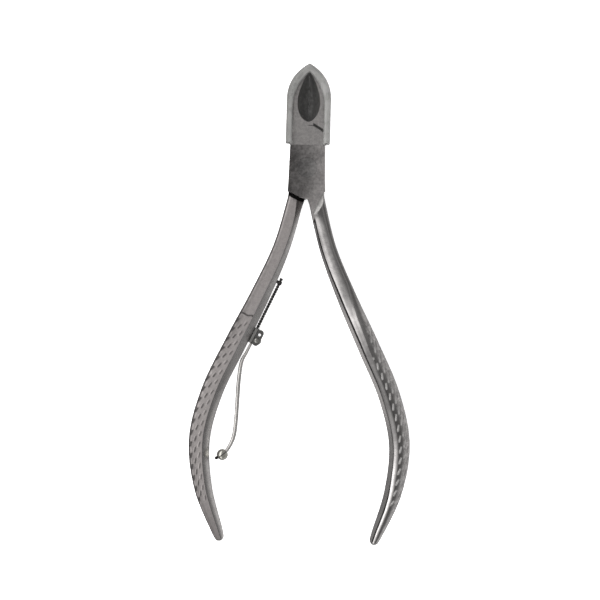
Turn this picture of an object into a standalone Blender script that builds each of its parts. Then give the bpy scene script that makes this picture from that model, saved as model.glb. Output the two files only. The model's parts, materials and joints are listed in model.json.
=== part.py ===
"""Lap-joint nail nipper with a folding spring arm and a soft clear tip cap.

The tool lies flat. Its pivot is on the Z axis, its jaws point along +Y and its handles
spread towards -Y. The origin is on the pivot, in the flat back face of the joint.
Each lever is one forging: a handle, a half-thickness lap plate and the opposite jaw.
The back lever is the front lever turned half a turn about the tool's long axis.
All the sizes below are in millimetres, and the meshes are scaled to metres when made.
"""

import math

import bmesh
import bpy
from mathutils import Matrix, Vector

MM = 0.001

# Joint
THICKNESS = 6.0
MID_Z = THICKNESS / 2
LAP_GAP = 0.1
LAP_FACE_Z = MID_Z + LAP_GAP / 2
INSET = 0.03
PLATE_ARC = 7.45
SHOULDER_ARC = 8.2
PLATE_SIDE = ((4.5, -5.6), (4.35, -2.0), (4.25, 2.0), (4.15, 6.0), (4.05, 7.95))
SHOULDER_START = (0.4, 10.25)
SHOULDER_GAP = 0.42
TONGUE = ((0.35, -7.55), (0.85, -8.9), (1.75, -11.0), (2.9, -11.9), (4.1, -11.3), (4.7, -8.6))

# Handles: x, y, half width and half depth at each station, from the joint to the tip
HANDLE = (
    (2.35, -6.0, 1.90, 2.85),
    (2.85, -9.0, 1.95, 2.85),
    (5.75, -19.7, 2.03, 2.75),
    (10.6, -31.2, 2.35, 2.65),
    (16.1, -42.7, 2.60, 2.60),
    (21.3, -54.2, 2.60, 2.55),
    (24.0, -65.7, 2.50, 2.40),
    (22.8, -77.2, 2.12, 2.00),
    (19.1, -87.6, 1.35, 1.40),
    (18.1, -89.9, 0.80, 1.05),
)
STEPS_PER_SPAN = 5
INNER_FLAT = 0.36
RIDGE = -0.40
ROUND_CENTRE = 0.2

# Jaws
JAW_ROOT_Y = 7.0
JAW_TIP_Y = 23.8
JAW_HALF_WIDTH = 3.95
JAW_ARCH = 8.6
JAW_MEETING = 0.05
JAW_TIP_FRONT = 4.5
JAW_TIP_BACK = 1.1
JAW_THINS_FROM_Y = 11.0
JAW_THINNING_POWER = 1.6
LEAF_BOTTOM_Y = 10.9
LEAF_TOP_Y = 22.8
LEAF_HALF_WIDTH = 2.7
LEAF_DEPTH = 3.5

# Pivot rivet
RIVET_RADIUS = 1.75
RIVET_HEAD_RADIUS = 2.4
RIVET_HEAD_DEPTH = 0.7
RIVET_CLEARANCE = 0.05

# Tip cap
CAP_BOTTOM_Y = 6.2
CAP_TIP_Y = 24.95
CAP_HALF_WIDTH = 5.2
CAP_ARCH = 8.4
CAP_WALL = 0.75
CAP_HALF_DEPTH = 4.1
CAP_TIP_HALF_DEPTH = 2.6
CAP_CORNER = 1.3

# Spring lug, on the inner side of the left handle. Its own axes are n, away from the
# handle, t, along the handle towards the joint, and z.
LUG_Y = -40.97
HINGE_N = 1.7
EAR_RADIUS = 0.85
EAR_LOW_T = -0.5
EAR_HIGH_T = 1.85
EAR_HOLE_T = 1.5
EAR_HOLE_RADIUS = 0.42
EAR_INNER_Z = 0.55
EAR_OUTER_Z = 1.0
LUG_BASE_N = (0.08, 1.15)
LUG_BASE_T = (1.25, 2.7)
STEM_RADIUS = 0.5
STEM_DEPTH = 1.8
STEM_T = 1.95
FIT_GAP = 0.05

# Hinge screw and nut
SCREW_RADIUS = 0.42
SCREW_HEAD_RADIUS = 0.8
SCREW_HEAD_HEIGHT = 0.5
SCREW_TAIL = 0.2
SLOT_HALF_WIDTH = 0.1
SLOT_DEPTH = 0.25
SLOT_TURN = 0.6
NUT_RADIUS = 0.9
NUT_HEIGHT = 0.65

# Twisted back spring and its post
ROD_RADIUS = 0.33
ROD_LOW_N = 0.55
ROD_LOW_T = 1.2
POST_Y = -27.44
POST_N = 0.87
POST_RADIUS = 0.4
POST_DEPTH = 1.4
POST_EYE_RADIUS = 0.62
POST_EYE_HALF_LENGTH = 0.4
ROD_OVERHANG = 1.1

# Spring arm: its eye, and the points that its wire passes through, in the tool's frame
EYE_RADIUS = 0.8
EYE_WIRE = 0.33
ARM_START_RADIUS = 0.3
ARM_ROUTE = ((-12.45, -42.9), (-13.25, -44.6), (-14.4, -47.0), (-14.95, -51.5), (-15.15, -56.2),
             (-15.35, -61.1), (-15.8, -64.9), (-17.0, -67.7), (-18.4, -69.3), (-19.7, -70.5))
ARM_RADII = (0.33, 0.36, 0.45, 0.5, 0.5, 0.5, 0.5, 0.45, 0.4, 0.36)
BALL_CENTRE = (-18.4, -69.3)
BALL_RADIUS = 1.35
BALL_BORE = 0.47


def clear_scene():
    for existing in list(bpy.data.objects):
        bpy.data.objects.remove(existing)


def metal(name, colour, roughness):
    """A polished or brushed steel."""
    material = bpy.data.materials.new(name)
    material.use_nodes = True
    shader = material.node_tree.nodes["Principled BSDF"]
    shader.inputs["Base Color"].default_value = (*colour, 1.0)
    shader.inputs["Metallic"].default_value = 1.0
    shader.inputs["Roughness"].default_value = roughness
    return material


def clear_vinyl(name, colour, roughness):
    """The soft, slightly frosted plastic of the tip cap."""
    material = bpy.data.materials.new(name)
    material.use_nodes = True
    shader = material.node_tree.nodes["Principled BSDF"]
    shader.inputs["Base Color"].default_value = (*colour, 1.0)
    shader.inputs["Roughness"].default_value = roughness
    shader.inputs["Transmission Weight"].default_value = 0.85
    return material


def make_object(name, bm, material=None, matrix=None):
    """Scales a bmesh drawn in millimetres to metres and puts it in the scene."""
    bmesh.ops.recalc_face_normals(bm, faces=bm.faces)
    if bm.calc_volume(signed=True) < 0:
        bmesh.ops.reverse_faces(bm, faces=bm.faces)
    if matrix is not None:
        bm.transform(matrix)
    bmesh.ops.scale(bm, vec=(MM, MM, MM), verts=bm.verts)
    mesh = bpy.data.meshes.new(name)
    bm.to_mesh(mesh)
    bm.free()
    mesh.shade_smooth()
    mesh.set_sharp_from_angle(angle=math.radians(30))
    if material is not None:
        mesh.materials.append(material)
    piece = bpy.data.objects.new(name, mesh)
    bpy.context.scene.collection.objects.link(piece)
    return piece


def make_tool(name, bm, matrix=None):
    """A hidden solid that is joined to another one, or cut from it."""
    tool = make_object(name, bm, matrix=matrix)
    tool.hide_render = True
    tool.display_type = "WIRE"
    return tool


def combine(piece, tool, operation):
    modifier = piece.modifiers.new(f"{operation.lower()} {tool.name}", "BOOLEAN")
    modifier.operation = operation
    modifier.solver = "EXACT"
    modifier.object = tool


def loft(rings):
    """A closed solid through rings of points, each with the same number of points."""
    bm = bmesh.new()
    rows = [[bm.verts.new(point) for point in ring] for ring in rings]
    for low, high in zip(rows, rows[1:]):
        count = len(low)
        for i in range(count):
            j = (i + 1) % count
            bm.faces.new((low[i], low[j], high[j], high[i]))
    bm.faces.new(rows[0])
    bm.faces.new(rows[-1])
    return bm


def prism(outline, low_z, high_z):
    """An outline in the XY plane, extruded from low_z to high_z."""
    return loft([[(x, y, z) for x, y in outline] for z in (low_z, high_z)])


def turned(profile, centre=(0.0, 0.0), segments=48):
    """A solid of revolution about a line along Z, from (radius, z) pairs."""
    rings = []
    for radius, z in profile:
        angles = [2 * math.pi * i / segments for i in range(segments)]
        rings.append([(centre[0] + radius * math.cos(a), centre[1] + radius * math.sin(a), z)
                      for a in angles])
    return loft(rings)


def arc(radius, start, end, count, centre=(0.0, 0.0)):
    """Points on an arc from start to end, which are in degrees."""
    angles = [math.radians(start + (end - start) * i / (count - 1)) for i in range(count)]
    return [(centre[0] + radius * math.cos(a), centre[1] + radius * math.sin(a)) for a in angles]


def smooth(points, steps):
    """A Catmull-Rom curve through points of any dimension, steps points to a span."""
    padded = [points[0], *points, points[-1]]
    curve = []
    for a, b, c, d in zip(padded, padded[1:], padded[2:], padded[3:]):
        for k in range(steps):
            t = k / steps
            curve.append(tuple(
                0.5 * (2 * q + (r - p) * t + (2 * p - 5 * q + 4 * r - s) * t ** 2
                       + (3 * q - p - 3 * r + s) * t ** 3)
                for p, q, r, s in zip(a, b, c, d)))
    curve.append(tuple(points[-1]))
    return curve


def tube(points, radii, sides=12):
    """A round wire along points that lie in one plane across Z."""
    rings = []
    for i, point in enumerate(points):
        before = points[max(i - 1, 0)]
        after = points[min(i + 1, len(points) - 1)]
        along = (after - before).normalized()
        side = along.cross(Vector((0, 0, 1))).normalized()
        up = side.cross(along)
        ring = []
        for k in range(sides):
            a = 2 * math.pi * k / sides
            ring.append(point + radii[i] * (math.cos(a) * side + math.sin(a) * up))
        rings.append(ring)
    return loft(rings)


def turn_over():
    """Half a turn about the tool's long axis, which swaps the front and back levers."""
    middle = Matrix.Translation((0, 0, MID_Z))
    return middle @ Matrix.Rotation(math.pi, 4, "Y") @ middle.inverted()


def handle_stations():
    return smooth(HANDLE, STEPS_PER_SPAN)


def handle_section(half_width, half_depth):
    """(across, depth) pairs round a handle: a flat inner side, two bevels, two faces and
    a rounded outer side, which the palm meets."""
    upper = []
    for i in range(6):
        a = math.radians(18 * i)
        upper.append((ROUND_CENTRE + (1 - ROUND_CENTRE) * math.cos(a), math.sin(a)))
    upper += [(RIDGE, 1.0), (-1.0, INNER_FLAT)]
    lower = [(n, -z) for n, z in reversed(upper[1:])]
    return [(n * half_width, z * half_depth) for n, z in upper + lower]


def direction_at(stations, i):
    before = stations[max(i - 1, 0)]
    after = stations[min(i + 1, len(stations) - 1)]
    return Vector((after[0] - before[0], after[1] - before[1], 0)).normalized()


def handle_loft():
    """The handle on the +X side, from inside the joint to its tip."""
    stations = handle_stations()
    rings = []
    for i, (x, y, half_width, half_depth) in enumerate(stations):
        along = direction_at(stations, i)
        outward = Vector((-along.y, along.x, 0))
        section = handle_section(half_width, half_depth)
        rings.append([Vector((x, y, MID_Z + z)) + n * outward for n, z in section])
    return loft(rings)


def inner_edge(y):
    """The point on the left handle's inner side at height y, with its two directions."""
    stations = handle_stations()
    i = min(range(len(stations)), key=lambda k: abs(stations[k][1] - y))
    along = direction_at(stations, i)
    x, centre_y, half_width, _ = stations[i]
    inward = Vector((along.y, -along.x, 0))
    edge = Vector((x, centre_y, 0)) + half_width * inward
    edge += along * ((y - edge.y) / along.y)
    mirrored_inward = Vector((-inward.x, inward.y, 0))
    towards_joint = Vector((along.x, -along.y, 0))
    return Vector((-edge.x, edge.y, MID_Z)), mirrored_inward, towards_joint


def arch_half_width(y, tip_y, half_width, arch):
    """Half the width of a pointed arch whose sides turn parallel arch below its tip."""
    depth = tip_y - y
    if depth >= arch:
        return half_width
    radius = (half_width ** 2 + arch ** 2) / (2 * half_width)
    return max(math.sqrt(radius ** 2 - (arch - depth) ** 2) - (radius - half_width), 0.0)


def plate_outline():
    """The front lap plate: its right side runs on into the handle as a tongue."""
    left = [(-x, y) for x, y in reversed(PLATE_SIDE)]
    bottom = arc(PLATE_ARC, 232, 267, 8)
    top = [SHOULDER_START, (-JAW_MEETING, 10.3), (-3.9, 10.0)]
    return left[:-1] + bottom + list(TONGUE) + list(PLATE_SIDE) + top


def jaw_thinning(y):
    """How far the jaws have thinned at y, from 0 to 1 at their tip."""
    share = (y - JAW_THINS_FROM_Y) / (JAW_TIP_Y - JAW_THINS_FROM_Y)
    return max(0.0, share) ** JAW_THINNING_POWER


def jaw_loft():
    """The left jaw, thinner towards its tip, with its outer edges eased."""
    rings = []
    steps = 18
    tip = JAW_TIP_Y - 0.12
    for i in range(steps + 1):
        share = math.sin(0.5 * math.pi * i / steps)
        y = JAW_ROOT_Y + (tip - JAW_ROOT_Y) * share
        width = arch_half_width(y, JAW_TIP_Y, JAW_HALF_WIDTH, JAW_ARCH)
        front = THICKNESS - INSET - (THICKNESS - JAW_TIP_FRONT) * jaw_thinning(y)
        back = INSET + JAW_TIP_BACK * jaw_thinning(y)
        height = front - back
        ease = 0.28 * height * min(1.0, max(0.0, (y - 9.5) / 3.0))
        inner = -JAW_MEETING
        rings.append([
            Vector((inner, y, back)), Vector((inner, y, front)),
            Vector((inner - 0.55 * width, y, front)), Vector((inner - 0.85 * width, y, front - 0.35 * ease)),
            Vector((inner - width, y, front - ease)), Vector((inner - width, y, back + ease)),
            Vector((inner - 0.85 * width, y, back + 0.35 * ease)), Vector((inner - 0.55 * width, y, back)),
        ])
    return loft(rings)


def leaf_loft():
    """The hollow between the jaws: leaf shaped on the face, and a rounded trough in depth."""
    rings = []
    steps = 16
    for i in range(1, steps):
        share = i / steps
        y = LEAF_BOTTOM_Y + (LEAF_TOP_Y - LEAF_BOTTOM_Y) * share
        swell = math.sin(math.pi * share ** 0.69) ** 0.8
        face = THICKNESS - (THICKNESS - JAW_TIP_FRONT) * jaw_thinning(y)
        width = LEAF_HALF_WIDTH * swell
        depth = LEAF_DEPTH * swell ** 0.7
        ring = [(width, y, THICKNESS + 1), (-width, y, THICKNESS + 1)]
        for k in range(11):
            a = math.pi * k / 10
            ring.append((-width * math.cos(a), y, face - depth * math.sin(a)))
        rings.append(ring)
    return loft(rings)


def shoulder_cutter():
    """Clears the left jaw from the back level below its slanting shoulder."""
    end_x, end_y = PLATE_SIDE[-1]
    start_x, start_y = SHOULDER_START
    slope = (end_y - start_y) / (end_x - start_x)
    outer_x, low_y = 8.0, 2.0
    top = start_y + SHOULDER_GAP
    outline = [(start_x, top), (-start_x, top), (-outer_x, top + slope * (outer_x - start_x)),
               (-outer_x, low_y), (start_x, low_y)]
    return prism(outline, -1.0, LAP_FACE_Z + INSET)


def rivet_profile(clearance=0.0):
    """A shank with a countersunk head at each face, larger all round by the clearance."""
    shank = RIVET_RADIUS + clearance
    head = RIVET_HEAD_RADIUS + clearance
    return [(head, 0.0), (shank, RIVET_HEAD_DEPTH), (shank, THICKNESS - RIVET_HEAD_DEPTH), (head, THICKNESS)]


def rivet_hole():
    """The rivet's profile with its clearance, carried past both faces."""
    profile = rivet_profile(RIVET_CLEARANCE)
    head = profile[0][0]
    past = 4 * RIVET_CLEARANCE
    return turned([(head, -past), *profile, (head, THICKNESS + past)])


def make_lever(name, material, matrix=None):
    """Handle, lap plate and jaw as one solid."""
    lever = make_object(name, handle_loft(), material, matrix)
    lap_cutter = make_tool(f"{name}_lap_cutter",
                           turned([(SHOULDER_ARC, -1.0), (SHOULDER_ARC, LAP_FACE_Z + INSET)]), matrix)
    plate = make_tool(f"{name}_plate", prism(plate_outline(), LAP_FACE_Z, THICKNESS), matrix)
    jaw = make_tool(f"{name}_jaw", jaw_loft(), matrix)
    combine(jaw, make_tool(f"{name}_shoulder_cutter", shoulder_cutter(), matrix), "DIFFERENCE")
    combine(lever, lap_cutter, "DIFFERENCE")
    combine(lever, plate, "UNION")
    combine(lever, jaw, "UNION")
    combine(lever, make_tool(f"{name}_leaf", leaf_loft()), "DIFFERENCE")
    combine(lever, make_tool(f"{name}_rivet_hole", rivet_hole()), "DIFFERENCE")
    return lever


def cap_section(y, shrink):
    """The cap's section at y: a rectangle with rounded corners."""
    width = arch_half_width(y, CAP_TIP_Y - 1.3 * shrink, CAP_HALF_WIDTH - shrink, CAP_ARCH)
    share = max(0.0, (y - 12.0) / (CAP_TIP_Y - 12.0)) ** 1.5
    depth = CAP_HALF_DEPTH + (CAP_TIP_HALF_DEPTH - CAP_HALF_DEPTH) * share - shrink
    width = max(width, 0.06)
    corner = min(CAP_CORNER - 0.5 * shrink, 0.9 * width, 0.9 * depth)
    ring = []
    for sign_x, sign_z, start in ((1, 1, 0), (-1, 1, 90), (-1, -1, 180), (1, -1, 270)):
        centre = (sign_x * (width - corner), sign_z * (depth - corner))
        for x, z in arc(corner, start, start + 90, 4, centre):
            ring.append((x, y, MID_Z + z))
    return ring


def make_cap(material):
    steps = 18

    def shell(low_y, tip_y, shrink):
        ys = [low_y + (tip_y - low_y) * math.sin(0.5 * math.pi * i / steps) for i in range(steps + 1)]
        return loft([cap_section(y, shrink) for y in ys])

    cap = make_object("jaw_cap", shell(CAP_BOTTOM_Y, CAP_TIP_Y - 0.05, 0.0), material)
    hollow_tip_y = CAP_TIP_Y - 1.3 * CAP_WALL - 0.05
    hollow = make_tool("jaw_cap_hollow", shell(CAP_BOTTOM_Y - 1.0, hollow_tip_y, CAP_WALL))
    combine(cap, hollow, "DIFFERENCE")
    return cap


def lug_matrix():
    """The lug's own axes: n away from the handle, t towards the joint, and z."""
    edge, n, t = inner_edge(LUG_Y)
    return Matrix(((n.x, t.x, 0, edge.x), (n.y, t.y, 0, edge.y), (0, 0, 1, edge.z), (0, 0, 0, 1)))


def hinge_point():
    return lug_matrix() @ Vector((HINGE_N, 0, 0))


def cylinder_between(start, end, radius, segments=20):
    """A round bar between two points."""
    axis = end - start
    bm = bmesh.new()
    bmesh.ops.create_cone(bm, cap_ends=True, segments=segments, radius1=radius, radius2=radius,
                          depth=axis.length)
    turn = axis.to_track_quat("Z", "Y").to_matrix().to_4x4()
    bm.transform(Matrix.Translation((start + end) / 2) @ turn)
    return bm


def rod_ends():
    """The back spring's two ends: by the arm's eye, and just past the post."""
    low = lug_matrix() @ Vector((ROD_LOW_N, ROD_LOW_T, 0))
    edge, n, _ = inner_edge(POST_Y)
    top = edge + POST_N * n
    return low, top, top + ROD_OVERHANG * (top - low).normalized()


def box_prism(n_range, t_range, z_half):
    outline = [(n_range[0], t_range[0]), (n_range[1], t_range[0]),
               (n_range[1], t_range[1]), (n_range[0], t_range[1])]
    return prism(outline, -z_half, z_half)


def make_lug(material):
    """A small block on a stem, with two ears that hold the arm's hinge screw."""
    local = lug_matrix()
    lug = make_object("spring_lug", box_prism(LUG_BASE_N, LUG_BASE_T, EAR_OUTER_Z - 0.08), material, local)
    stadium = (arc(EAR_RADIUS, 180, 360, 13, (HINGE_N, EAR_LOW_T))
               + arc(EAR_RADIUS, 0, 180, 13, (HINGE_N, EAR_HIGH_T)))
    for label, low, high in (("front", EAR_INNER_Z, EAR_OUTER_Z), ("back", -EAR_OUTER_Z, -EAR_INNER_Z)):
        combine(lug, make_tool(f"lug_{label}_ear", prism(stadium, low, high), local), "UNION")
    stem = turned([(STEM_RADIUS, -STEM_DEPTH), (STEM_RADIUS, LUG_BASE_N[0] + 0.1)])
    stem_place = local @ Matrix.Translation((0, STEM_T, 0)) @ Matrix.Rotation(math.pi / 2, 4, "Y")
    combine(lug, make_tool("lug_stem", stem, stem_place), "UNION")
    low, _, end = rod_ends()
    past = 2 * (low - end).normalized()
    for label, radius, t in (("screw", SCREW_RADIUS + FIT_GAP, 0.0), ("spare", EAR_HOLE_RADIUS, EAR_HOLE_T)):
        hole = turned([(radius, -2), (radius, 2)], (HINGE_N, t), 24)
        combine(lug, make_tool(f"lug_{label}_hole", hole, local), "DIFFERENCE")
    rod_hole = cylinder_between(low + past, end, ROD_RADIUS + FIT_GAP)
    combine(lug, make_tool("lug_rod_hole", rod_hole), "DIFFERENCE")
    return lug


def make_hinge_screw(material):
    place = lug_matrix() @ Matrix.Translation((HINGE_N, 0, 0))
    seat = EAR_OUTER_Z + FIT_GAP
    rim = seat + 0.15
    crown = SCREW_HEAD_HEIGHT - 0.15
    dome = [(SCREW_HEAD_RADIUS * math.cos(math.radians(a)), rim + crown * math.sin(math.radians(a)))
            for a in (0, 25, 50, 72)]
    profile = [(SCREW_RADIUS, -EAR_OUTER_Z - NUT_HEIGHT - SCREW_TAIL), (SCREW_RADIUS, seat),
               (SCREW_HEAD_RADIUS, seat)] + dome
    screw = make_object("hinge_screw", turned(profile, segments=24), material, place)
    top = seat + SCREW_HEAD_HEIGHT
    half = SLOT_HALF_WIDTH
    slot = prism([(-1, -half), (1, -half), (1, half), (-1, half)], top - SLOT_DEPTH, top + SLOT_DEPTH)
    slot_place = place @ Matrix.Rotation(SLOT_TURN, 4, "Z")
    combine(screw, make_tool("hinge_screw_slot", slot, slot_place), "DIFFERENCE")
    return screw


def make_hinge_nut(material):
    place = lug_matrix() @ Matrix.Translation((HINGE_N, 0, 0))
    seat = -EAR_OUTER_Z - FIT_GAP
    hexagon = turned([(NUT_RADIUS, seat - NUT_HEIGHT), (NUT_RADIUS, seat)], segments=6)
    nut = make_object("hinge_nut", hexagon, material, place)
    bore = turned([(SCREW_RADIUS + FIT_GAP, seat - 2), (SCREW_RADIUS + FIT_GAP, seat + 1)], segments=24)
    combine(nut, make_tool("hinge_nut_bore", bore, place), "DIFFERENCE")
    return nut


def make_post(material):
    """A pin in the handle whose eye steadies the top of the back spring."""
    edge, n, _ = inner_edge(POST_Y)
    low, top, end = rod_ends()
    along = (end - low).normalized()
    post = make_object("rod_post", cylinder_between(edge - POST_DEPTH * n, top, POST_RADIUS), material)
    reach = POST_EYE_HALF_LENGTH * along
    eye = cylinder_between(top - reach, top + reach, POST_EYE_RADIUS)
    combine(post, make_tool("rod_post_eye", eye), "UNION")
    bore = cylinder_between(low, end + along, ROD_RADIUS + FIT_GAP)
    combine(post, make_tool("rod_post_bore", bore), "DIFFERENCE")
    return post


def make_arm(material):
    """The eye and the wire. Its object's origin is on the hinge screw's axis."""
    hinge = hinge_point()
    start = lug_matrix() @ Vector((HINGE_N - EYE_RADIUS, 0, 0))
    route = [(start.x, start.y, ARM_START_RADIUS)]
    route += [(x, y, r) for (x, y), r in zip(ARM_ROUTE, ARM_RADII)]
    curve = smooth(route, 4)
    points = [Vector((x, y, MID_Z)) - hinge for x, y, _ in curve]
    arm = make_object("spring_arm", tube(points, [r for _, _, r in curve]), material)
    arm.location = hinge * MM
    eye = bmesh.new()
    ring = []
    sides = 12
    for k in range(sides):
        a = 2 * math.pi * k / sides
        ring.append(eye.verts.new((EYE_RADIUS + EYE_WIRE * math.cos(a), 0, EYE_WIRE * math.sin(a))))
    edges = [eye.edges.new((ring[k], ring[(k + 1) % sides])) for k in range(sides)]
    bmesh.ops.spin(eye, geom=ring + edges, axis=(0, 0, 1), cent=(0, 0, 0), steps=28,
                   angle=2 * math.pi, use_merge=True)
    eye_tool = make_tool("spring_arm_eye", eye)
    eye_tool.location = hinge * MM
    combine(arm, eye_tool, "UNION")
    return arm


def make_ball(material, arm):
    """The bead on the arm's end, bored along the wire."""
    centre = Vector((*BALL_CENTRE, MID_Z))
    hinge = hinge_point()
    bm = bmesh.new()
    bmesh.ops.create_uvsphere(bm, u_segments=24, v_segments=14, radius=BALL_RADIUS)
    bm.transform(Matrix.Translation(centre - hinge))
    ball = make_object("arm_ball", bm, material)
    ball.location = hinge * MM
    before, after = Vector((*ARM_ROUTE[-3], MID_Z)), Vector((*ARM_ROUTE[-1], MID_Z))
    along = (after - before).normalized()
    reach = 2 * BALL_RADIUS * along
    bore = cylinder_between(centre - reach - hinge, centre + reach - hinge, BALL_BORE + FIT_GAP)
    bore_tool = make_tool("arm_ball_bore", bore)
    bore_tool.location = hinge * MM
    combine(ball, bore_tool, "DIFFERENCE")
    return ball


def main():
    clear_scene()
    front_steel = metal("front steel", (0.50, 0.48, 0.48), 0.30)
    back_steel = metal("back steel", (0.46, 0.44, 0.44), 0.32)
    rivet_steel = metal("rivet steel", (0.42, 0.41, 0.41), 0.28)
    lug_steel = metal("lug steel", (0.30, 0.30, 0.30), 0.35)
    screw_steel = metal("screw steel", (0.45, 0.45, 0.44), 0.25)
    nut_steel = metal("nut steel", (0.38, 0.38, 0.38), 0.3)
    wire_steel = metal("wire steel", (0.58, 0.58, 0.57), 0.22)
    rod_steel = metal("rod steel", (0.20, 0.20, 0.20), 0.35)
    post_steel = metal("post steel", (0.16, 0.16, 0.16), 0.4)
    ball_steel = metal("ball steel", (0.60, 0.60, 0.56), 0.15)
    cap_vinyl = clear_vinyl("cap vinyl", (0.78, 0.78, 0.77), 0.25)

    make_lever("front_lever", front_steel)
    back_lever = make_lever("back_lever", back_steel, turn_over())
    make_object("pivot_rivet", turned(rivet_profile()), rivet_steel)
    make_cap(cap_vinyl)

    local = lug_matrix()
    socket = turned([(STEM_RADIUS + FIT_GAP, -STEM_DEPTH - 0.1), (STEM_RADIUS + FIT_GAP, 1.0)])
    socket_place = local @ Matrix.Translation((0, STEM_T, 0)) @ Matrix.Rotation(math.pi / 2, 4, "Y")
    combine(back_lever, make_tool("stem_socket", socket, socket_place), "DIFFERENCE")
    edge, n, _ = inner_edge(POST_Y)
    post_socket = cylinder_between(edge - (POST_DEPTH + 0.1) * n, edge + n, POST_RADIUS + FIT_GAP)
    combine(back_lever, make_tool("post_socket", post_socket), "DIFFERENCE")

    make_lug(lug_steel)
    make_hinge_screw(screw_steel)
    make_hinge_nut(nut_steel)
    make_post(post_steel)
    low, _, end = rod_ends()
    make_object("twist_rod", cylinder_between(low, end, ROD_RADIUS), rod_steel)
    make_ball(ball_steel, make_arm(wire_steel))


main()
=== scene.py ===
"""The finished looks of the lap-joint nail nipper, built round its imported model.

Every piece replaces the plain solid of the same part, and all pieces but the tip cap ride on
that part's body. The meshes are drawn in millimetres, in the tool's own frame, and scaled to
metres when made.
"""
import bisect
import json
import math

import bmesh
import bpy
from mathutils import Matrix, Vector
from mathutils.kdtree import KDTree
from mathutils.noise import noise as noise_at


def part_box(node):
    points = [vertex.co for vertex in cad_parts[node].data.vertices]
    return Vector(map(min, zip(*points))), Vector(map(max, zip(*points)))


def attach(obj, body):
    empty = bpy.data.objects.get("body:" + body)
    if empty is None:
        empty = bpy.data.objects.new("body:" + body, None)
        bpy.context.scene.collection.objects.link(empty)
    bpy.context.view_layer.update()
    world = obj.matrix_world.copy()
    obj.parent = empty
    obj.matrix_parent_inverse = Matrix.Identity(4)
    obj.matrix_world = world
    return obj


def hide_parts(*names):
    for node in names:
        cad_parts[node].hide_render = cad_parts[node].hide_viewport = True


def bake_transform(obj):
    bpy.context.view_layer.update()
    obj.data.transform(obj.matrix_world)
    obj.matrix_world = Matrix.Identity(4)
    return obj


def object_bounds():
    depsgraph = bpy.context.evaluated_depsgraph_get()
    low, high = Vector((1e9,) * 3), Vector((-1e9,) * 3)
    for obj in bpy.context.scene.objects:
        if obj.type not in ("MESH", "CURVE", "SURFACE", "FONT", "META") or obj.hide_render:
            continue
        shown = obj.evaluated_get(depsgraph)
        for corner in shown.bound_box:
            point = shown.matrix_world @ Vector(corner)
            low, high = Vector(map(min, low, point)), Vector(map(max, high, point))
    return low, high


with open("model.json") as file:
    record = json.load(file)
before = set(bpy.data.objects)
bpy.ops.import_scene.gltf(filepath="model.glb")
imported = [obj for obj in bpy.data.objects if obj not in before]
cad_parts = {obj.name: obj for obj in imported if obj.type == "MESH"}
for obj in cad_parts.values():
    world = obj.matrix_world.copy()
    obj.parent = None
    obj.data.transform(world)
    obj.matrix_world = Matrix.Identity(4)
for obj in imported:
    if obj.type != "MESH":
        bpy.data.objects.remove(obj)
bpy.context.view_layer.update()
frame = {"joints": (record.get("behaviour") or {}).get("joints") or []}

MM = 0.001
JOINTS = {joint["name"]: joint for joint in frame["joints"]}
HINGE = Vector(JOINTS["arm_swing"]["pos_m"]) / MM
RIVET_LOW, RIVET_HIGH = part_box("pivot_rivet")
THICKNESS = (RIVET_HIGH.z - RIVET_LOW.z) / MM
MID_Z = THICKNESS / 2

# Joint
LAP_GAP = 0.1
LAP_FACE_Z = MID_Z + LAP_GAP / 2
INSET = 0.03
PLATE_ARC = 7.48
SHOULDER_ARC = 8.3
ARC_CENTRE_X = 0.59
PLATE_CHAMFER = 0.14
PLATE_SIDE = ((4.5, -5.6), (4.35, -2.0), (4.25, 2.0), (4.15, 6.0), (4.05, 8.4))
TONGUE = ((0.35, -7.55), (0.8, -8.9), (1.35, -11.0), (1.85, -13.2), (2.3, -12.0), (3.3, -8.6), (4.4, -5.6))
MILLED_EDGE = ((4.94, -3.6), (-0.14, -14.2))
MILLED_FILLET = 2.3
SHOULDER_START = (1.2, 10.1)
SHOULDER_GAP = 0.6

# Handles: x, y, half width and half depth at each station, from the joint to the tip
HANDLE = (
    (2.35, -6.0, 1.90, 3.40),
    (2.85, -9.0, 1.95, 3.40),
    (5.75, -19.7, 2.03, 2.82),
    (10.6, -31.2, 2.35, 2.65),
    (16.1, -42.7, 2.60, 2.60),
    (21.3, -54.2, 2.60, 2.55),
    (24.0, -65.7, 2.50, 2.40),
    (22.8, -77.2, 2.12, 2.00),
    (19.1, -87.6, 1.35, 1.40),
    (18.1, -89.9, 0.80, 1.05),
)
JOIN_Y = -16.5
GRIP_START_Y = -34.6
GRIP_END_Y = -82.0
COARSE_STEP = 0.8
FINE_STEP = 0.2
TIP_ROUND = 0.75

# The grip's dents and its border line
FRONT_DENT_LENGTH = 1.7
BACK_DENT_LENGTH = 1.35
DENT_WIDTH = 0.48
DENT_SLANT = 0.25
FRONT_DENT_DEPTH = 0.16
BACK_DENT_DEPTH = 0.055
DENT_PITCH = 2.6
DENT_ROWS = 9
DENTS_FROM_Y = -37.2
RIDGE_ROW_FROM_Y = -44.8
DENTS_TO_Y = -80.5
BORDER_Y = -35.8
BORDER_WIDTH = 0.30
BORDER_DEPTH = 0.06
BORDER_LEAN = 0.42
BORDER_WAVE = 0.13
BORDER_FROM_N = -0.34
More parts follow.
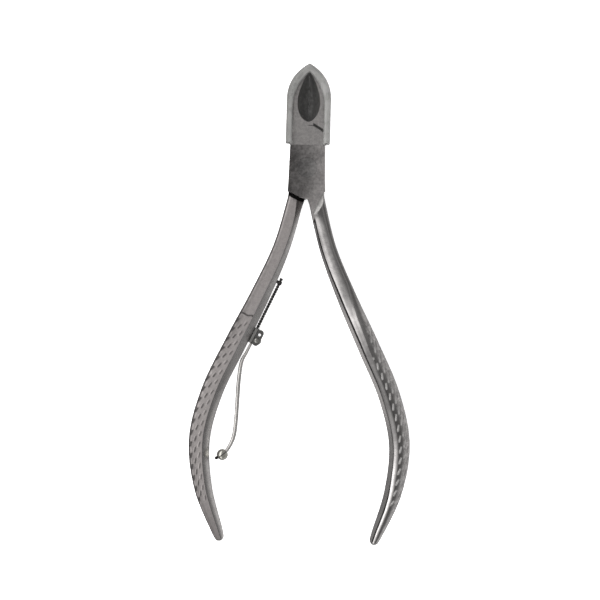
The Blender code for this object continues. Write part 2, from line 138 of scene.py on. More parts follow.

# Painted highlights and painted shade on the handles' polished crowns and bevels: how far the
# steel's tone is raised or lowered at evenly spaced places across a zone, by the share of the
# way from the joint to the tip
FRONT_BAND_TONES = (
    (0.00, (0.8, 0.8)), (0.15, (0.9, 0.9)), (0.28, (1.4, 1.6)), (0.36, (1.8, 2.0)), (0.55, (1.8, 2.0)),
    (0.62, (1.5, 1.8)), (0.69, (0.9, 1.1)), (0.77, (0.75, 0.95)), (0.90, (0.75, 1.0)), (1.00, (0.9, 1.0)),
)
CROWN_TONES = (
    (0.04, (0.5, 0.5, 0.45, 0.4, 0.45)),
    (0.12, (1.1, 1.15, 0.4, 0.32, 0.42)),
    (0.30, (1.1, 0.4, 0.4, 0.42, 0.35)),
    (0.36, (1.1, 1.1, 0.75, 1.0, 0.9)),
    (0.40, (0.8, 0.5, 0.42, 0.5, 0.4)),
    (0.46, (0.6, 0.42, 0.33, 0.28, 0.2)),
    (0.53, (0.6, 0.52, 0.33, 0.15, 0.14)),
    (0.60, (0.8, 0.48, 0.27, 0.12, 0.12)),
    (0.70, (1.1, 0.75, 0.42, 0.2, 0.17)),
    (0.80, (1.8, 1.5, 0.7, 0.38, 0.25)),
    (1.00, (1.6, 1.8, 1.3, 0.8, 0.5)),
)
FLANK_TONES = (
    (0.30, (0.7, 0.5, 0.5, 0.7, 1.0)),
    (0.36, (0.9, 0.7, 0.75, 1.3, 1.1)),
    (0.46, (0.45, 0.55, 1.0, 1.3, 1.1)),
    (0.70, (0.35, 0.45, 1.15, 1.4, 1.2)),
    (0.80, (0.35, 0.6, 1.3, 1.3, 1.3)),
)
BACK_EDGE_FROM = 0.35
BACK_EDGE_TONES = (
    (0.06, (0.85, 0.8, 0.65, 0.45, 0.25)),
    (0.40, (0.95, 0.8, 0.5, 0.32, 0.24)),
    (0.52, (1.0, 1.0, 0.8, 0.45, 0.28)),
    (0.64, (1.0, 1.0, 0.85, 0.45, 0.28)),
    (0.78, (1.0, 0.8, 0.6, 0.35, 0.28)),
)
BACK_BAND_TONES = (
    (0.00, (0.9, 1.3, 2.0, 2.0)),
    (0.10, (0.6, 1.1, 2.0, 2.0)),
    (0.18, (0.9, 1.05, 1.15, 1.1)),
    (0.45, (0.9, 1.05, 1.1, 1.0)),
    (0.55, (0.65, 0.65, 0.9, 1.6)),
    (0.65, (0.55, 0.7, 1.5, 1.9)),
    (1.00, (0.5, 0.9, 1.7, 1.9)),
)
PAINTED_LIGHT_TONES = {"front_band": FRONT_BAND_TONES, "crown": CROWN_TONES, "front_grip": FLANK_TONES,
         "back_grip": BACK_EDGE_TONES, "back_band": BACK_BAND_TONES}
SIDE_TONE = 0.8
FLANK_MOTTLE = 0.4
MOTTLE_SCALE = 2.6
# How much lighter the jaws' eased edges are painted, as a highlight
JAW_EDGE_HIGHLIGHT = 1.6

# Jaws
JAW_ROOT_Y = 7.0
JAW_TIP_Y = 23.8
JAW_HALF_WIDTH = 3.95
JAW_ARCH = 8.6
JAW_MEETING = 0.002
JAW_TIP_FRONT = 4.5
JAW_TIP_BACK = 1.1
JAW_THINS_FROM_Y = 11.0
JAW_THINNING_POWER = 1.6
JAW_EASED_FROM = 0.88
JAW_EASE = 0.05
JAW_EASE_FROM_Y = 9.5
LEAF_BOTTOM_Y = 10.9
LEAF_TOP_Y = 23.2
LEAF_HALF_WIDTH = 2.7
LEAF_DEPTH = 3.5
LEAF_SKEW = 0.69
LEAF_FULLNESS = 0.8

# Rivet
RIVET_RADIUS = 1.75
RIVET_HEAD_RADIUS = 2.4
RIVET_HEAD_DEPTH = 0.7
RIVET_CLEARANCE = 0.012
RIVET_TONE = 0.93

# Tip cap
CAP_BOTTOM_Y = 5.4
CAP_LIP = 0.55
CAP_LIP_HALF_WIDTH = 4.1
CAP_TIP_Y = 24.95
CAP_TIP_BLUNT = 0.05
CAP_TIP_DROP = 1.3
CAP_CORNER = 1.3
CAP_HALF_WIDTH = 5.3
CAP_ARCH = 8.4
CAP_WALL = 0.75
CAP_DENSE = (1.75, 1.2)
CAP_HALF_DEPTH = 4.1
CAP_TIP_HALF_DEPTH = 2.6
CAP_THINS_FROM_Y = 12.0

# Spring lug, in its own axes: n away from the handle, t towards the joint, and z
LUG_Y = -40.97
HINGE_N = 1.7
EAR_RADIUS = 0.85
EAR_LOW_T = -0.5
EAR_HIGH_T = 1.85
EAR_HOLE_T = 1.5
EAR_HOLE_RADIUS = 0.34
EAR_INNER_Z = 0.55
EAR_OUTER_Z = 1.0
LUG_BASE_N = (0.08, 1.15)
LUG_BASE_T = (1.25, 2.7)
LUG_FOOT_N = (0.0, 1.0)
LUG_FOOT_T = (-1.2, 2.6)
LUG_FOOT_Z = (0.5, 0.8)
LUG_STRIP_N = (0.16, 0.76)
LUG_STRIP_Z = (0.6, 0.96)
STEM_RADIUS = 0.5
STEM_T = 1.95
STEM_DEPTH = 0.6
FIT_GAP = 0.05
SCREW_RADIUS = 0.42
SCREW_HEAD_RADIUS = 0.66
SCREW_HEAD_HEIGHT = 0.5
SCREW_HEAD_RIM = 0.12
SCREW_SLOT = (0.2, 0.22)
NUT_RADIUS = 0.9
NUT_HEIGHT = 0.65

# Twisted back spring and its post
STRAND_RADIUS = 0.20
STRAND_OFFSET = 0.195
TWIST_PITCH = 1.32
ROD_LOW_N = 0.5
ROD_LOW_T = 1.2
POST_Y = -27.44
POST_N = 0.72
POST_RADIUS = 0.4
POST_EYE_RADIUS = 0.56
ROD_OVERHANG = 1.1

# Spring arm: its eye, and the points that its wire passes through
EYE_RADIUS = 0.8
EYE_WIRE = 0.33
ARM_ROUTE = ((-12.45, -42.9), (-13.25, -44.6), (-14.4, -47.0), (-14.95, -51.5), (-15.15, -56.2),
             (-15.35, -61.1), (-15.8, -64.9), (-17.0, -67.7), (-18.4, -69.3), (-19.95, -70.2))
ARM_RADII = (0.33, 0.36, 0.45, 0.5, 0.5, 0.5, 0.5, 0.45, 0.4, 0.36)
BALL_BORE = 0.47
BALL_SEAM = 0.26
DARK_END_X = -19.2

# View: the point looked at, the camera's height over it, and the lean of the view
VIEW_X, VIEW_Y = -0.79, -31.7
VIEW_HEIGHT = 600.0
VIEW_WIDTH = 144.0
SENSOR_WIDTH = 36.0
VIEW_LEAN = 1.6
FLOOR_GAP = 0.05


# ---------------------------------------------------------------- curves and outlines

def arc(radius, start, end, count, centre=(0.0, 0.0)):
    """Points on an arc from start to end, which are in degrees."""
    x, y = centre
    angles = [math.radians(start + (end - start) * i / (count - 1)) for i in range(count)]
    return [(x + radius * math.cos(a), y + radius * math.sin(a)) for a in angles]


def smooth(points, steps):
    """A Catmull-Rom curve through points of any dimension, steps points to a span."""
    padded = [points[0], *points, points[-1]]
    curve = []
    for a, b, c, d in zip(padded, padded[1:], padded[2:], padded[3:]):
        for k in range(steps):
            t = k / steps
            curve.append(tuple(
                0.5 * (2 * q + (r - p) * t + (2 * p - 5 * q + 4 * r - s) * t ** 2
                       + (3 * q - p - 3 * r + s) * t ** 3)
                for p, q, r, s in zip(a, b, c, d)))
    curve.append(tuple(points[-1]))
    return curve


def lengths_along(points):
    """How far along a line each of its points is, by their first two numbers."""
    lengths = [0.0]
    for before, after in zip(points, points[1:]):
        lengths.append(lengths[-1] + math.dist(before[:2], after[:2]))
    return lengths


def point_at(lengths, points, target):
    """The point at a length along a line."""
    k = min(max(bisect.bisect_right(lengths, target), 1), len(points) - 1)
    span = max(lengths[k] - lengths[k - 1], 1e-9)
    share = min(max((target - lengths[k - 1]) / span, 0.0), 1.0)
    return tuple(a + (b - a) * share for a, b in zip(points[k - 1], points[k]))


def spread(points, count):
    """The same line as count points at equal distances, both ends kept."""
    lengths = lengths_along(points)
    return [point_at(lengths, points, lengths[-1] * i / (count - 1)) for i in range(count)]


def between(value, start, end):
    """How far value is from start to end, eased, from 0 to 1."""
    share = min(max((value - start) / (end - start), 0.0), 1.0)
    return share * share * (3 - 2 * share)


def ramp(value, *stops):
    """A straight-line reading of (place, level) stops."""
    for (low, low_level), (high, high_level) in zip(stops, stops[1:]):
        if value <= high:
            share = min(max((value - low) / (high - low), 0.0), 1.0)
            return low_level + (high_level - low_level) * share
    return stops[-1][1]


def tones_across(rows, share):
    """A table's tones at a share along the handle, as (place, tone) stops for ramp."""
    last = len(rows[0][1]) - 1
    return [(i / last, ramp(share, *((at, tones[i]) for at, tones in rows))) for i in range(last + 1)]


# ---------------------------------------------------------------- solids

# The second material is very dark steel, painted shade in gaps, seams and hidden faces.
STEEL, IN_SHADE, HOLLOW, FACET = 0, 1, 2, 3


def loft(rings, closed=True):
    """A mesh through rings of points, each with the same number of points."""
    bm = bmesh.new()
    rows = [[bm.verts.new(point) for point in ring] for ring in rings]
    for low, high in zip(rows, rows[1:]):
        count = len(low)
        for i in range(count):
            j = (i + 1) % count
            bm.faces.new((low[i], low[j], high[j], high[i]))
    if closed:
        bm.faces.new(rows[0])
        bm.faces.new(rows[-1])
    return bm


def rectangle(across, along):
    """The outline of a rectangle, from its (low, high) in each direction."""
    return [(across[0], along[0]), (across[1], along[0]), (across[1], along[1]), (across[0], along[1])]


def prism(outline, low_z, high_z):
    """An outline in the XY plane, extruded from low_z to high_z."""
    return loft([[(x, y, z) for x, y in outline] for z in (low_z, high_z)])


def full_turn(count):
    """Evenly spaced angles round a circle."""
    return [2 * math.pi * i / count for i in range(count)]


def turned(profile, centre=(0.0, 0.0), segments=64, closed=True):
    """A body of revolution about a line along Z, from (radius, z) pairs."""
    x, y = centre
    return loft([[(x + radius * math.cos(a), y + radius * math.sin(a), z) for a in full_turn(segments)]
                 for radius, z in profile], closed)


def turned_ring(profile, segments=64):
    """A body of revolution about Z with a hole through it, from a closed (radius, z) outline."""
    bm = turned(profile + profile[:1], segments=segments, closed=False)
    bmesh.ops.remove_doubles(bm, verts=bm.verts, dist=1e-6)
    return bm


def tube(points, radii, sides=16):
    """A round wire along points in space, with closed ends."""
    up = Vector((0, 0, 1))
    rings = []
    for i, point in enumerate(points):
        along = (points[min(i + 1, len(points) - 1)] - points[max(i - 1, 0)]).normalized()
        side = along.cross(up).normalized()
        up = side.cross(along).normalized()
        rings.append([point + radii[i] * (math.cos(a) * side + math.sin(a) * up) for a in full_turn(sides)])
    return loft(rings)


def cylinder_between(start, end, radius, segments=32):
    """A round bar between two points."""
    axis = end - start
    bm = bmesh.new()
    bmesh.ops.create_cone(bm, cap_ends=True, segments=segments, radius1=radius, radius2=radius,
                          depth=axis.length)
    turn = axis.to_track_quat("Z", "Y").to_matrix().to_4x4()
    bm.transform(Matrix.Translation((start + end) / 2) @ turn)
    return bm


def face_outwards(bm):
    bmesh.ops.recalc_face_normals(bm, faces=bm.faces)
    if bm.calc_volume(signed=True) < 0:
        bmesh.ops.reverse_faces(bm, faces=bm.faces)


def to_mesh(name, bm, materials):
    mesh = bpy.data.meshes.new(name)
    bm.to_mesh(mesh)
    bm.free()
    for material in materials:
        mesh.materials.append(material)
    return mesh


def add_object(name, data):
    """Makes an object, and puts it in the scene."""
    made = bpy.data.objects.new(name, data)
    bpy.context.scene.collection.objects.link(made)
    return made


def combined(base, steps, materials):
    """The base bmesh after Boolean steps of (bmesh, operation, material's place in the list),
    as a new bmesh. Where the place is None, the step's faces keep their own."""
    face_outwards(base)
    holder = add_object("combined", to_mesh("combined", base, materials))
    tools = []
    for bm, operation, index in steps:
        face_outwards(bm)
        for face in bm.faces:
            face.material_index = face.material_index if index is None else index
        tool = add_object("tool", to_mesh("tool", bm, materials))
        modifier = holder.modifiers.new(operation, "BOOLEAN")
        modifier.operation = operation
        modifier.solver = "EXACT"
        modifier.material_mode = "TRANSFER"
        modifier.object = tool
        tools.append(tool)
    evaluated = holder.evaluated_get(bpy.context.evaluated_depsgraph_get())
    mesh = bpy.data.meshes.new_from_object(evaluated)
    order = [materials.index(slot) if slot in materials else 0 for slot in mesh.materials]
    result = bmesh.new()
    result.from_mesh(mesh)
    for face in result.faces:
        face.material_index = order[face.material_index] if order else 0
    for extra in [holder, *tools]:
        bpy.data.objects.remove(extra)
    bpy.data.meshes.remove(mesh)
    return result


def joined(*parts):
    """Several closed bodies in one bmesh."""
    for part in parts:
        face_outwards(part)
    whole = parts[0]
    for part in parts[1:]:
        mesh = bpy.data.meshes.new("part")
        part.to_mesh(mesh)
        whole.from_mesh(mesh)
        part.free()
        bpy.data.meshes.remove(mesh)
    return whole


def sharpen(bm, degrees=32):
    """Keeps an edge crisp where its faces meet at more than this angle."""
    limit = math.radians(degrees)
    for edge in bm.edges:
        if len(edge.link_faces) == 2:
            edge.smooth = edge.calc_face_angle(0.0) < limit


def make_piece(name, bm, materials, body, node, bevel=0.0, crisp=32):
    """Puts a finished mesh in the scene, on its body and in its part's place. Its edges are
    crisp above an angle of crisp degrees, and stay as they are where that is 0."""
    if crisp:
        sharpen(bm, crisp)
    for face in bm.faces:
        face.smooth = True
    bm.transform(Matrix.Scale(MM, 4))
    piece = add_object(name, to_mesh(name, bm, materials))
    if bevel:
        modifier = piece.modifiers.new("eased edges", "BEVEL")
        modifier.width = bevel * MM
        modifier.segments = 2
        modifier.limit_method = "ANGLE"
        modifier.angle_limit = math.radians(40)
    if body:
        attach(piece, body)
    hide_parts(node)
    return piece


# ---------------------------------------------------------------- materials

def node(tree, kind, inputs=None, **settings):
    """Adds a shader node, with values or links for its inputs."""
    made = tree.nodes.new(kind)
    for setting, value in settings.items():
        setattr(made, setting, value)
    for socket, value in (inputs or {}).items():
        if isinstance(value, bpy.types.NodeSocket):
            tree.links.new(value, made.inputs[socket])
        else:
            made.inputs[socket].default_value = value
    return made


def mixed(tree, factor, first, second, blend="MIX"):
    """Mixes two colours, and returns the mixed colour's socket."""
    made = node(tree, "ShaderNodeMix", data_type="RGBA", blend_type=blend)
    for index, value in ((0, factor), (6, first), (7, second)):
        if isinstance(value, bpy.types.NodeSocket):
            tree.links.new(value, made.inputs[index])
        else:
            made.inputs[index].default_value = value
    return made.outputs[2]


def stretch(tree, value, low, high, to_low=0.0, to_high=1.0):
    """Reads a value between low and high as a number between to_low and to_high."""
    made = node(tree, "ShaderNodeMapRange", {"Value": value, "From Min": low, "From Max": high,
                                             "To Min": to_low, "To Max": to_high})
    return made.outputs["Result"]


def times(tree, first, second):
    """Multiplies two colours."""
    return mixed(tree, 1.0, first, second, "MULTIPLY")


def math_node(tree, operation, first, second):
    return node(tree, "ShaderNodeMath", {0: first, 1: second}, operation=operation).outputs[0]


def place_in(tree, kind="Object"):
    """The place on the object, and the same as separate axes."""
    place = node(tree, "ShaderNodeTexCoord").outputs[kind]
    return place, node(tree, "ShaderNodeSeparateXYZ", {"Vector": place}).outputs


def painted(tree, name):
    """A value that the mesh carries at each vertex."""
    return node(tree, "ShaderNodeAttribute", attribute_name=name).outputs["Fac"]


def shader_of(material):
    """A material's node tree, its shader, and the colour linked to it so far."""
    material.use_nodes = True
    tree = material.node_tree
    shader = tree.nodes["Principled BSDF"]
    links = shader.inputs["Base Color"].links
    return tree, shader, links[0].from_socket if links else None


def add_relief(tree, shader, strength, distance, height):
    relief = node(tree, "ShaderNodeBump", {"Strength": strength, "Distance": distance, "Height": height})
    tree.links.new(relief.outputs["Normal"], shader.inputs["Normal"])


def grey(tree, level):
    """A level as a grey colour."""
    return node(tree, "ShaderNodeCombineColor", {"Red": level, "Green": level, "Blue": level}).outputs[0]


def noise(tree, place, scale, detail=3.0, roughness=0.55):
    return node(tree, "ShaderNodeTexNoise", {"Vector": place, "Scale": scale, "Detail": detail,
                                             "Roughness": roughness}).outputs[0]


def steel(name, dark, light, roughness, mottle=900.0, grain=5200.0, bump=0.25):
    """Bare steel: cloudy colour, and fine grain in its gloss and relief."""
    material = bpy.data.materials.new(name)
    tree, shader, _ = shader_of(material)
    place, _ = place_in(tree)
    cloud = stretch(tree, noise(tree, place, mottle, 5.0, 0.62), 0.36, 0.64)
    colour = mixed(tree, cloud, (*dark, 1.0), (*light, 1.0))
    fine = noise(tree, place, grain, 2.0)
    speck = stretch(tree, fine, 0.3, 0.7, 0.86, 1.08)
    tree.links.new(times(tree, colour, grey(tree, speck)), shader.inputs["Base Color"])
    gloss = stretch(tree, cloud, 0.0, 1.0, roughness[1], roughness[0])
    tree.links.new(gloss, shader.inputs["Roughness"])
    shader.inputs["Metallic"].default_value = 1.0
    add_relief(tree, shader, bump, 0.00002, fine)
    return material


def lever_steel(name, warm):
    """The levers' steel: satin faces and polished crowns, with painted shade and highlights in the
    dents, and painted shade across the lap plate, darker to the left and lighter under the cap. The
    mesh's own attributes say where each of them is."""
    material = steel(name, (0.41, 0.40, 0.40), (0.51, 0.50, 0.495), (0.30, 0.40))
    tree, shader, colour = shader_of(material)
    place, axes = place_in(tree)
    satin, recess_shade_and_highlight, tone_and_painted_light, plate = (painted(tree, name) for name in ("satin", "recess_shade_and_highlight", "tone_and_painted_light", "plate"))

    colour = mixed(tree, satin, colour, times(tree, colour, (*warm, 1.0)))

    # Painted shade across the lap plate: darker to the left and lighter to the right, with random mottle.
    across = stretch(tree, axes["X"], -0.0046, 0.0042)
    patch = stretch(tree, noise(tree, place, 420.0, 4.0, 0.6), 0.2, 0.8, -0.36, 0.36)
    plate_shading = stretch(tree, math_node(tree, "ADD", across, patch), 0.0, 1.0, 0.46, 0.94)
    # Painted light on the steel under the cap, lifted to a nearly even level.
    jaws = math_node(tree, "MULTIPLY", stretch(tree, axes["Y"], 0.0051, 0.0055), 0.86)
    plate_shading = math_node(tree, "MAXIMUM", math_node(tree, "POWER", plate_shading, 2.0), jaws)
    speckle = stretch(tree, noise(tree, place, 1700.0, 3.0, 0.6), 0.3, 0.7, 0.84, 1.16)
    shade = grey(tree, math_node(tree, "MULTIPLY", plate_shading, speckle))
    joint = math_node(tree, "MULTIPLY", stretch(tree, axes["Y"], -0.0115, -0.0065), plate)
    colour = mixed(tree, joint, colour, times(tree, colour, shade))

    # The mesh's painted highlights and shade, and its own tone, scale the colour here.
    colour = times(tree, colour, grey(tree, tone_and_painted_light))
    # Painted shade in the dents, the groove and the border line, and painted highlights where the mesh marks
    # them below zero.
    colour = mixed(tree, stretch(tree, recess_shade_and_highlight, 0.0, 1.0, 0.0, 0.88), colour, (0.05, 0.048, 0.048, 1.0))
    colour = mixed(tree, stretch(tree, recess_shade_and_highlight, 0.0, -1.0, 0.0, 0.85), colour, (0.95, 0.94, 0.93, 1.0))
    tree.links.new(colour, shader.inputs["Base Color"])

    gloss = shader.inputs["Roughness"].links[0].from_socket
    duller = math_node(tree, "ADD", gloss, stretch(tree, satin, 0.0, 1.0, -0.10, 0.06))
    tree.links.new(duller, shader.inputs["Roughness"])
    return material


def painted_shade_steel(name, dark, light):
    """Very dark steel as painted shade: inside the joint and in the jaws' hollow, in the lug's foot and in
    the ball's seam.
    """
    return steel(name, (dark, dark, dark), (light, light, light), (0.42, 0.6), mottle=700.0, bump=0.5)


def wire_steel(name):
    """Bright drawn wire, dark at its cut end."""
    material = steel(name, (0.52, 0.51, 0.50), (0.70, 0.69, 0.675), (0.20, 0.34), mottle=1300.0)
    tree, shader, colour = shader_of(material)
    _, axes = place_in(tree)
    end = stretch(tree, axes["X"], (DARK_END_X - 0.3) * MM, DARK_END_X * MM)
    tree.links.new(mixed(tree, end, (0.02, 0.02, 0.02, 1.0), colour), shader.inputs["Base Color"])
    return material


def hollow_steel(name):
    """The jaws' ground hollow: steel darkened as painted shade, with painted light towards its rim."""
    material = painted_shade_steel(name, 0.03, 0.075)
    tree, shader, colour = shader_of(material)
    # Painted light towards the hollow's rim, where its walls turn up.
    bright = stretch(tree, painted(tree, "rim"), 0.25, 1.0, 0.0, 0.75)
    tree.links.new(mixed(tree, bright, colour, (0.34, 0.335, 0.33, 1.0)), shader.inputs["Base Color"])
    return material


def clear_vinyl(name):
    """Soft clear plastic with a faint bloom, denser where it is seen edge on."""
    material = bpy.data.materials.new(name)
    tree, shader, _ = shader_of(material)
    place, axes = place_in(tree)
    cloud = noise(tree, place, 350.0, 4.0)
    bloom = stretch(tree, cloud, 0.35, 0.65)
    colour = mixed(tree, bloom, (0.16, 0.16, 0.155, 1.0), (0.21, 0.21, 0.205, 1.0))
    # Painted shade on the cap's left side and painted light on its right.
    side = grey(tree, stretch(tree, axes["X"], -0.005, 0.005, 0.7, 1.35))
    tree.links.new(times(tree, colour, side), shader.inputs["Base Color"])
    tree.links.new(stretch(tree, cloud, 0.3, 0.7, 0.22, 0.38), shader.inputs["Roughness"])
    tree.links.new(stretch(tree, painted(tree, "wall"), 0.0, 1.0, 0.05, 0.90), shader.inputs["Alpha"])
    shader.inputs["IOR"].default_value = 1.5
    add_relief(tree, shader, 0.2, 0.00004, noise(tree, place, 900.0, 2.0))
    return material


# ---------------------------------------------------------------- levers

PATH = smooth(HANDLE, 48)
PATH_LENGTHS = lengths_along(PATH)


def station_at(length):
    """(x, y, half width, half depth) at a length along the handle."""
    return point_at(PATH_LENGTHS, PATH, length)


def length_at_y(y):
    """The length along the handle where its centre reaches y."""
    return PATH_LENGTHS[min(range(len(PATH)), key=lambda i: abs(PATH[i][1] - y))]


DENTS_FROM, RIDGE_ROW_FROM, DENTS_TO, BORDER = (
    length_at_y(y) for y in (DENTS_FROM_Y, RIDGE_ROW_FROM_Y, DENTS_TO_Y, BORDER_Y))


def direction_at(length):
    before, after = station_at(length - 0.4), station_at(length + 0.4)
    return Vector((after[0] - before[0], after[1] - before[1], 0)).normalized()


def station_lengths():
    """Lengths from the joint to the tip: close together where the grip is dented."""
    total = PATH_LENGTHS[-1]
    join, start, end = (length_at_y(y) for y in (JOIN_Y, GRIP_START_Y, GRIP_END_Y))
    lengths = []
    for low, high, step in ((0.0, join, COARSE_STEP), (join, start, COARSE_STEP), (start, end, FINE_STEP),
                            (end, total - TIP_ROUND, COARSE_STEP)):
        count = max(2, round((high - low) / step))
        lengths += [low + (high - low) * i / count for i in range(count)]
    lengths += [total - TIP_ROUND * math.cos(math.radians(a)) for a in range(0, 91, 10)]
    return lengths


ZONES = (("inner", 5), ("front_band", 5), ("groove", 4), ("crown", 14), ("front_grip", 42),
         ("back_grip", 50), ("back_band", 7))


def section(half_width, half_depth, share):
    """The handle's outline as (across, depth) points by zone, where share runs from the
    joint to the tip. The front has a fine groove and a polished crown, and the back has
    a flat face and a wide bevel."""
    flat = ramp(share, (0.0, 0.30), (0.6, 0.34), (1.0, 0.02))
    band = ramp(share, (0.0, -0.74), (0.12, -0.77), (0.25, -0.68), (0.35, -0.65), (0.62, -0.68),
                (0.8, -0.58), (0.9, -0.42), (1.0, -0.40))
    band_top = ramp(share, (0.045, 0.97), (0.08, 0.72), (0.12, 0.55), (0.25, 0.65), (0.35, 0.69),
                    (0.62, 0.68), (0.8, 0.76), (1.0, 0.84))
    bend = ramp(share, (0.26, 1.75), (0.34, 1.15), (0.44, 1.15), (0.55, 1.75))
    back_ridge = ramp(share, (0.0, 0.0), (0.03, -0.25), (0.06, -0.44), (0.1, -0.5), (0.3, -0.36),
                      (0.75, -0.36), (1.0, -0.2))
    ridge = ramp(share, (0.0, 0.45), (0.26, 0.60), (0.35, 0.14), (0.45, -0.10), (0.7, -0.05),
                 (0.85, 0.10), (1.0, 0.30))
    groove = ramp(share, (0.20, 0.12), (0.28, 0.17), (0.42, 0.17), (0.50, 0.11), (0.60, 0.08),
                  (0.80, 0.08), (0.90, 0.13)) / half_width
    lip = groove * 2
    rise = 1 - band_top - groove
    crown = []
    for k in range(25):
        n = band + lip + (ridge - band - lip) * k / 24
        crown.append((n, 1 - rise * max((ridge - n) / (ridge - band - lip), 0.0) ** bend))
    sweep = math.radians(76)
    radius = (1 - ridge) / (1 - math.cos(sweep))
    tilted = between(share, 0.24, 0.42)
    front = []
    for k in range(41):
        a = math.radians(90 - 90 * k / 40)
        b = sweep * (1 - k / 40)
        flat_topped = (ridge + (1 - ridge) * math.cos(a) ** 0.6, math.sin(a) ** 0.6)
        sloping = (1 - radius + radius * math.cos(b), math.sin(b) / math.sin(sweep))
        front.append(tuple(p + (q - p) * tilted for p, q in zip(flat_topped, sloping)))
    back = []
    for k in range(41):
        a = math.radians(90 * k / 40)
        back.append((0.1 + 0.9 * max(math.cos(a), 0.0) ** 0.28, -math.sin(a) ** 0.5))
    zones = {
        "inner": [(-1.0, -flat), (-1.0, flat)],
        "front_band": [(-1.0, flat), (band, band_top)],
        "groove": [(band, band_top), (band + groove, band_top - groove * 1.2),
                   (band + lip, band_top + groove)],
        "crown": crown,
        "front_grip": front,
        "back_grip": back + [(back_ridge, -1.0)],
        "back_band": [(back_ridge, -1.0), (-1.0, -flat)],
    }
    points, names = [], []
    for zone, count in ZONES:
        line = [(n * half_width, z * half_depth) for n, z in zones[zone]]
        for point in spread(line, count + 1)[:-1]:
            points.append(point)
            names.append(zone)
    return points, names


def dent_at(along, around, girth, dent_length):
    """How deep the grip's dents are at a place, from 0 to 1, and how far across its dent the
    place is, from -1 to 1. The dents are staggered rows of short slots."""
    row = around * DENT_ROWS - 0.30
    nearest = min(max(round(row), 0), DENT_ROWS - 1)
    spacing = girth / DENT_ROWS
    across = (row - nearest) * spacing
    offset = DENT_PITCH / 2 if nearest % 2 else 0.0
    phase = (along + offset) / DENT_PITCH
    lengthwise = (phase - round(phase)) * DENT_PITCH
    across += DENT_SLANT * lengthwise
    half_width = DENT_WIDTH / 2 * min(1.0, spacing / 0.85)
    past = max(abs(lengthwise) - (dent_length / 2 - half_width), 0.0)
    reach = math.hypot(past, across) / half_width
    start = RIDGE_ROW_FROM if nearest == 0 else DENTS_FROM
    fade = between(along, start - 0.2, start + 0.4) * (1 - between(along, DENTS_TO - 1, DENTS_TO))
    return fade * (1 - between(reach, 0.45, 1.2)), min(max(across / half_width, -1.0), 1.0)


def border_depth(length, n_share):
    """How deep the border line across the grip's upper end is, from 0 to 1."""
    line = BORDER + BORDER_LEAN * n_share + BORDER_WAVE * math.sin(7.0 * n_share)
    if n_share < BORDER_FROM_N:
        return 0.0
    groove = 1 - between(abs(length - line), 0.3 * BORDER_WIDTH, BORDER_WIDTH)
    dot = math.hypot((n_share + 0.30) * 2.4, length - BORDER + 0.20)
    return max(groove, 1 - between(dot, 0.12, 0.26))


def handle_rings():
    """Every ring of the handle on the +X side: its points, and each point's attributes."""
    total = PATH_LENGTHS[-1]
    counts = dict(ZONES)
    rings = []
    for length in station_lengths():
        x, y, half_width, half_depth = station_at(length)
        left = (total - length) / TIP_ROUND
        if left < 1:
            shrink = max(math.sqrt(1 - (1 - left) ** 2), 0.12)
            half_width *= shrink
            half_depth *= shrink
        along = direction_at(length)
        outward = Vector((-along.y, along.x, 0))
        share = length / total
        points, zones = section(half_width, half_depth, share)
        grip = [i for i, zone in enumerate(zones) if zone in ("front_grip", "back_grip")]
        reach = lengths_along([points[i] for i in grip])
        tones = {zone: tones_across(rows, share) for zone, rows in PAINTED_LIGHT_TONES.items()}
        ridge_n = points[grip[0]][0] / half_width
        ring, details = [], []
        for i, ((n, z), zone) in enumerate(zip(points, zones)):
            before, after = points[i - 1], points[(i + 1) % len(points)]
            normal = Vector((-(after[1] - before[1]), after[0] - before[0])).normalized()
            recess_shade_and_highlight, depth, tone_and_painted_light = 0.0, 0.0, SIDE_TONE
            place_n = n / half_width
            if zone in ("front_band", "crown", "back_band"):
                # Painted highlights and shade from the zone's table.
                tone_and_painted_light = ramp((i - zones.index(zone)) / counts[zone], *tones[zone])
            elif zone == "front_grip":
                around = reach[i - grip[0]] / reach[-1]
                dent, slant = dent_at(length, around, reach[-1], FRONT_DENT_LENGTH)
                depth = dent * FRONT_DENT_DEPTH * (1 - slant) / 2
                # Painted highlights in the dents nearest the crown, and painted shade in those further out.
                recess_shade_and_highlight = dent * (0.3 - 1.3 * (1 - between(place_n, 0.30, 0.60)))
                flank = (place_n - ridge_n) / (1 - ridge_n)
                # Painted highlights and shade from the flank's table.
                tone_and_painted_light = ramp(flank, *tones[zone])
                grain = noise_at(Vector((x + n, y, z)) * MOTTLE_SCALE)
                tone_and_painted_light *= 1 + FLANK_MOTTLE * grain * between(flank, 0.1, 0.4) * between(share, 0.3, 0.4)
            elif zone == "back_grip":
                around = reach[i - grip[0]] / reach[-1]
                dent, _ = dent_at(length, around, reach[-1], BACK_DENT_LENGTH)
                line = border_depth(length, place_n)
                depth = max(dent * BACK_DENT_DEPTH, line * BORDER_DEPTH)
                # Painted shade in the back's dents and along the border line.
                recess_shade_and_highlight = max(dent * (0.6 + 0.4 * between(place_n, 0.1, 0.6)), line)
                # Painted shade from the back edge's table, darker still near the tip.
                tone_and_painted_light = ramp((place_n - BACK_EDGE_FROM) / (1 - BACK_EDGE_FROM), *tones[zone])
                tone_and_painted_light *= ramp(share, (0.86, 1.0), (0.94, 0.75))
            elif zone == "groove":
                # Painted shade along the groove.
                recess_shade_and_highlight = ramp(share, (0.5, 1.0), (0.6, 0.5), (0.78, 0.5), (0.88, 1.0))
            depth *= 1 - 0.6 * between(place_n, 0.8, 1.0)
            satin = 1.0 if zone == "back_grip" else 0.0
            place = (n, z) if depth == 0.0 else (n + normal.x * depth, z + normal.y * depth)
            ring.append(Vector((x, y, MID_Z + place[1])) + place[0] * outward)
            details.append((satin, recess_shade_and_highlight, tone_and_painted_light))
        rings.append((length, ring, details))
    return rings, zones


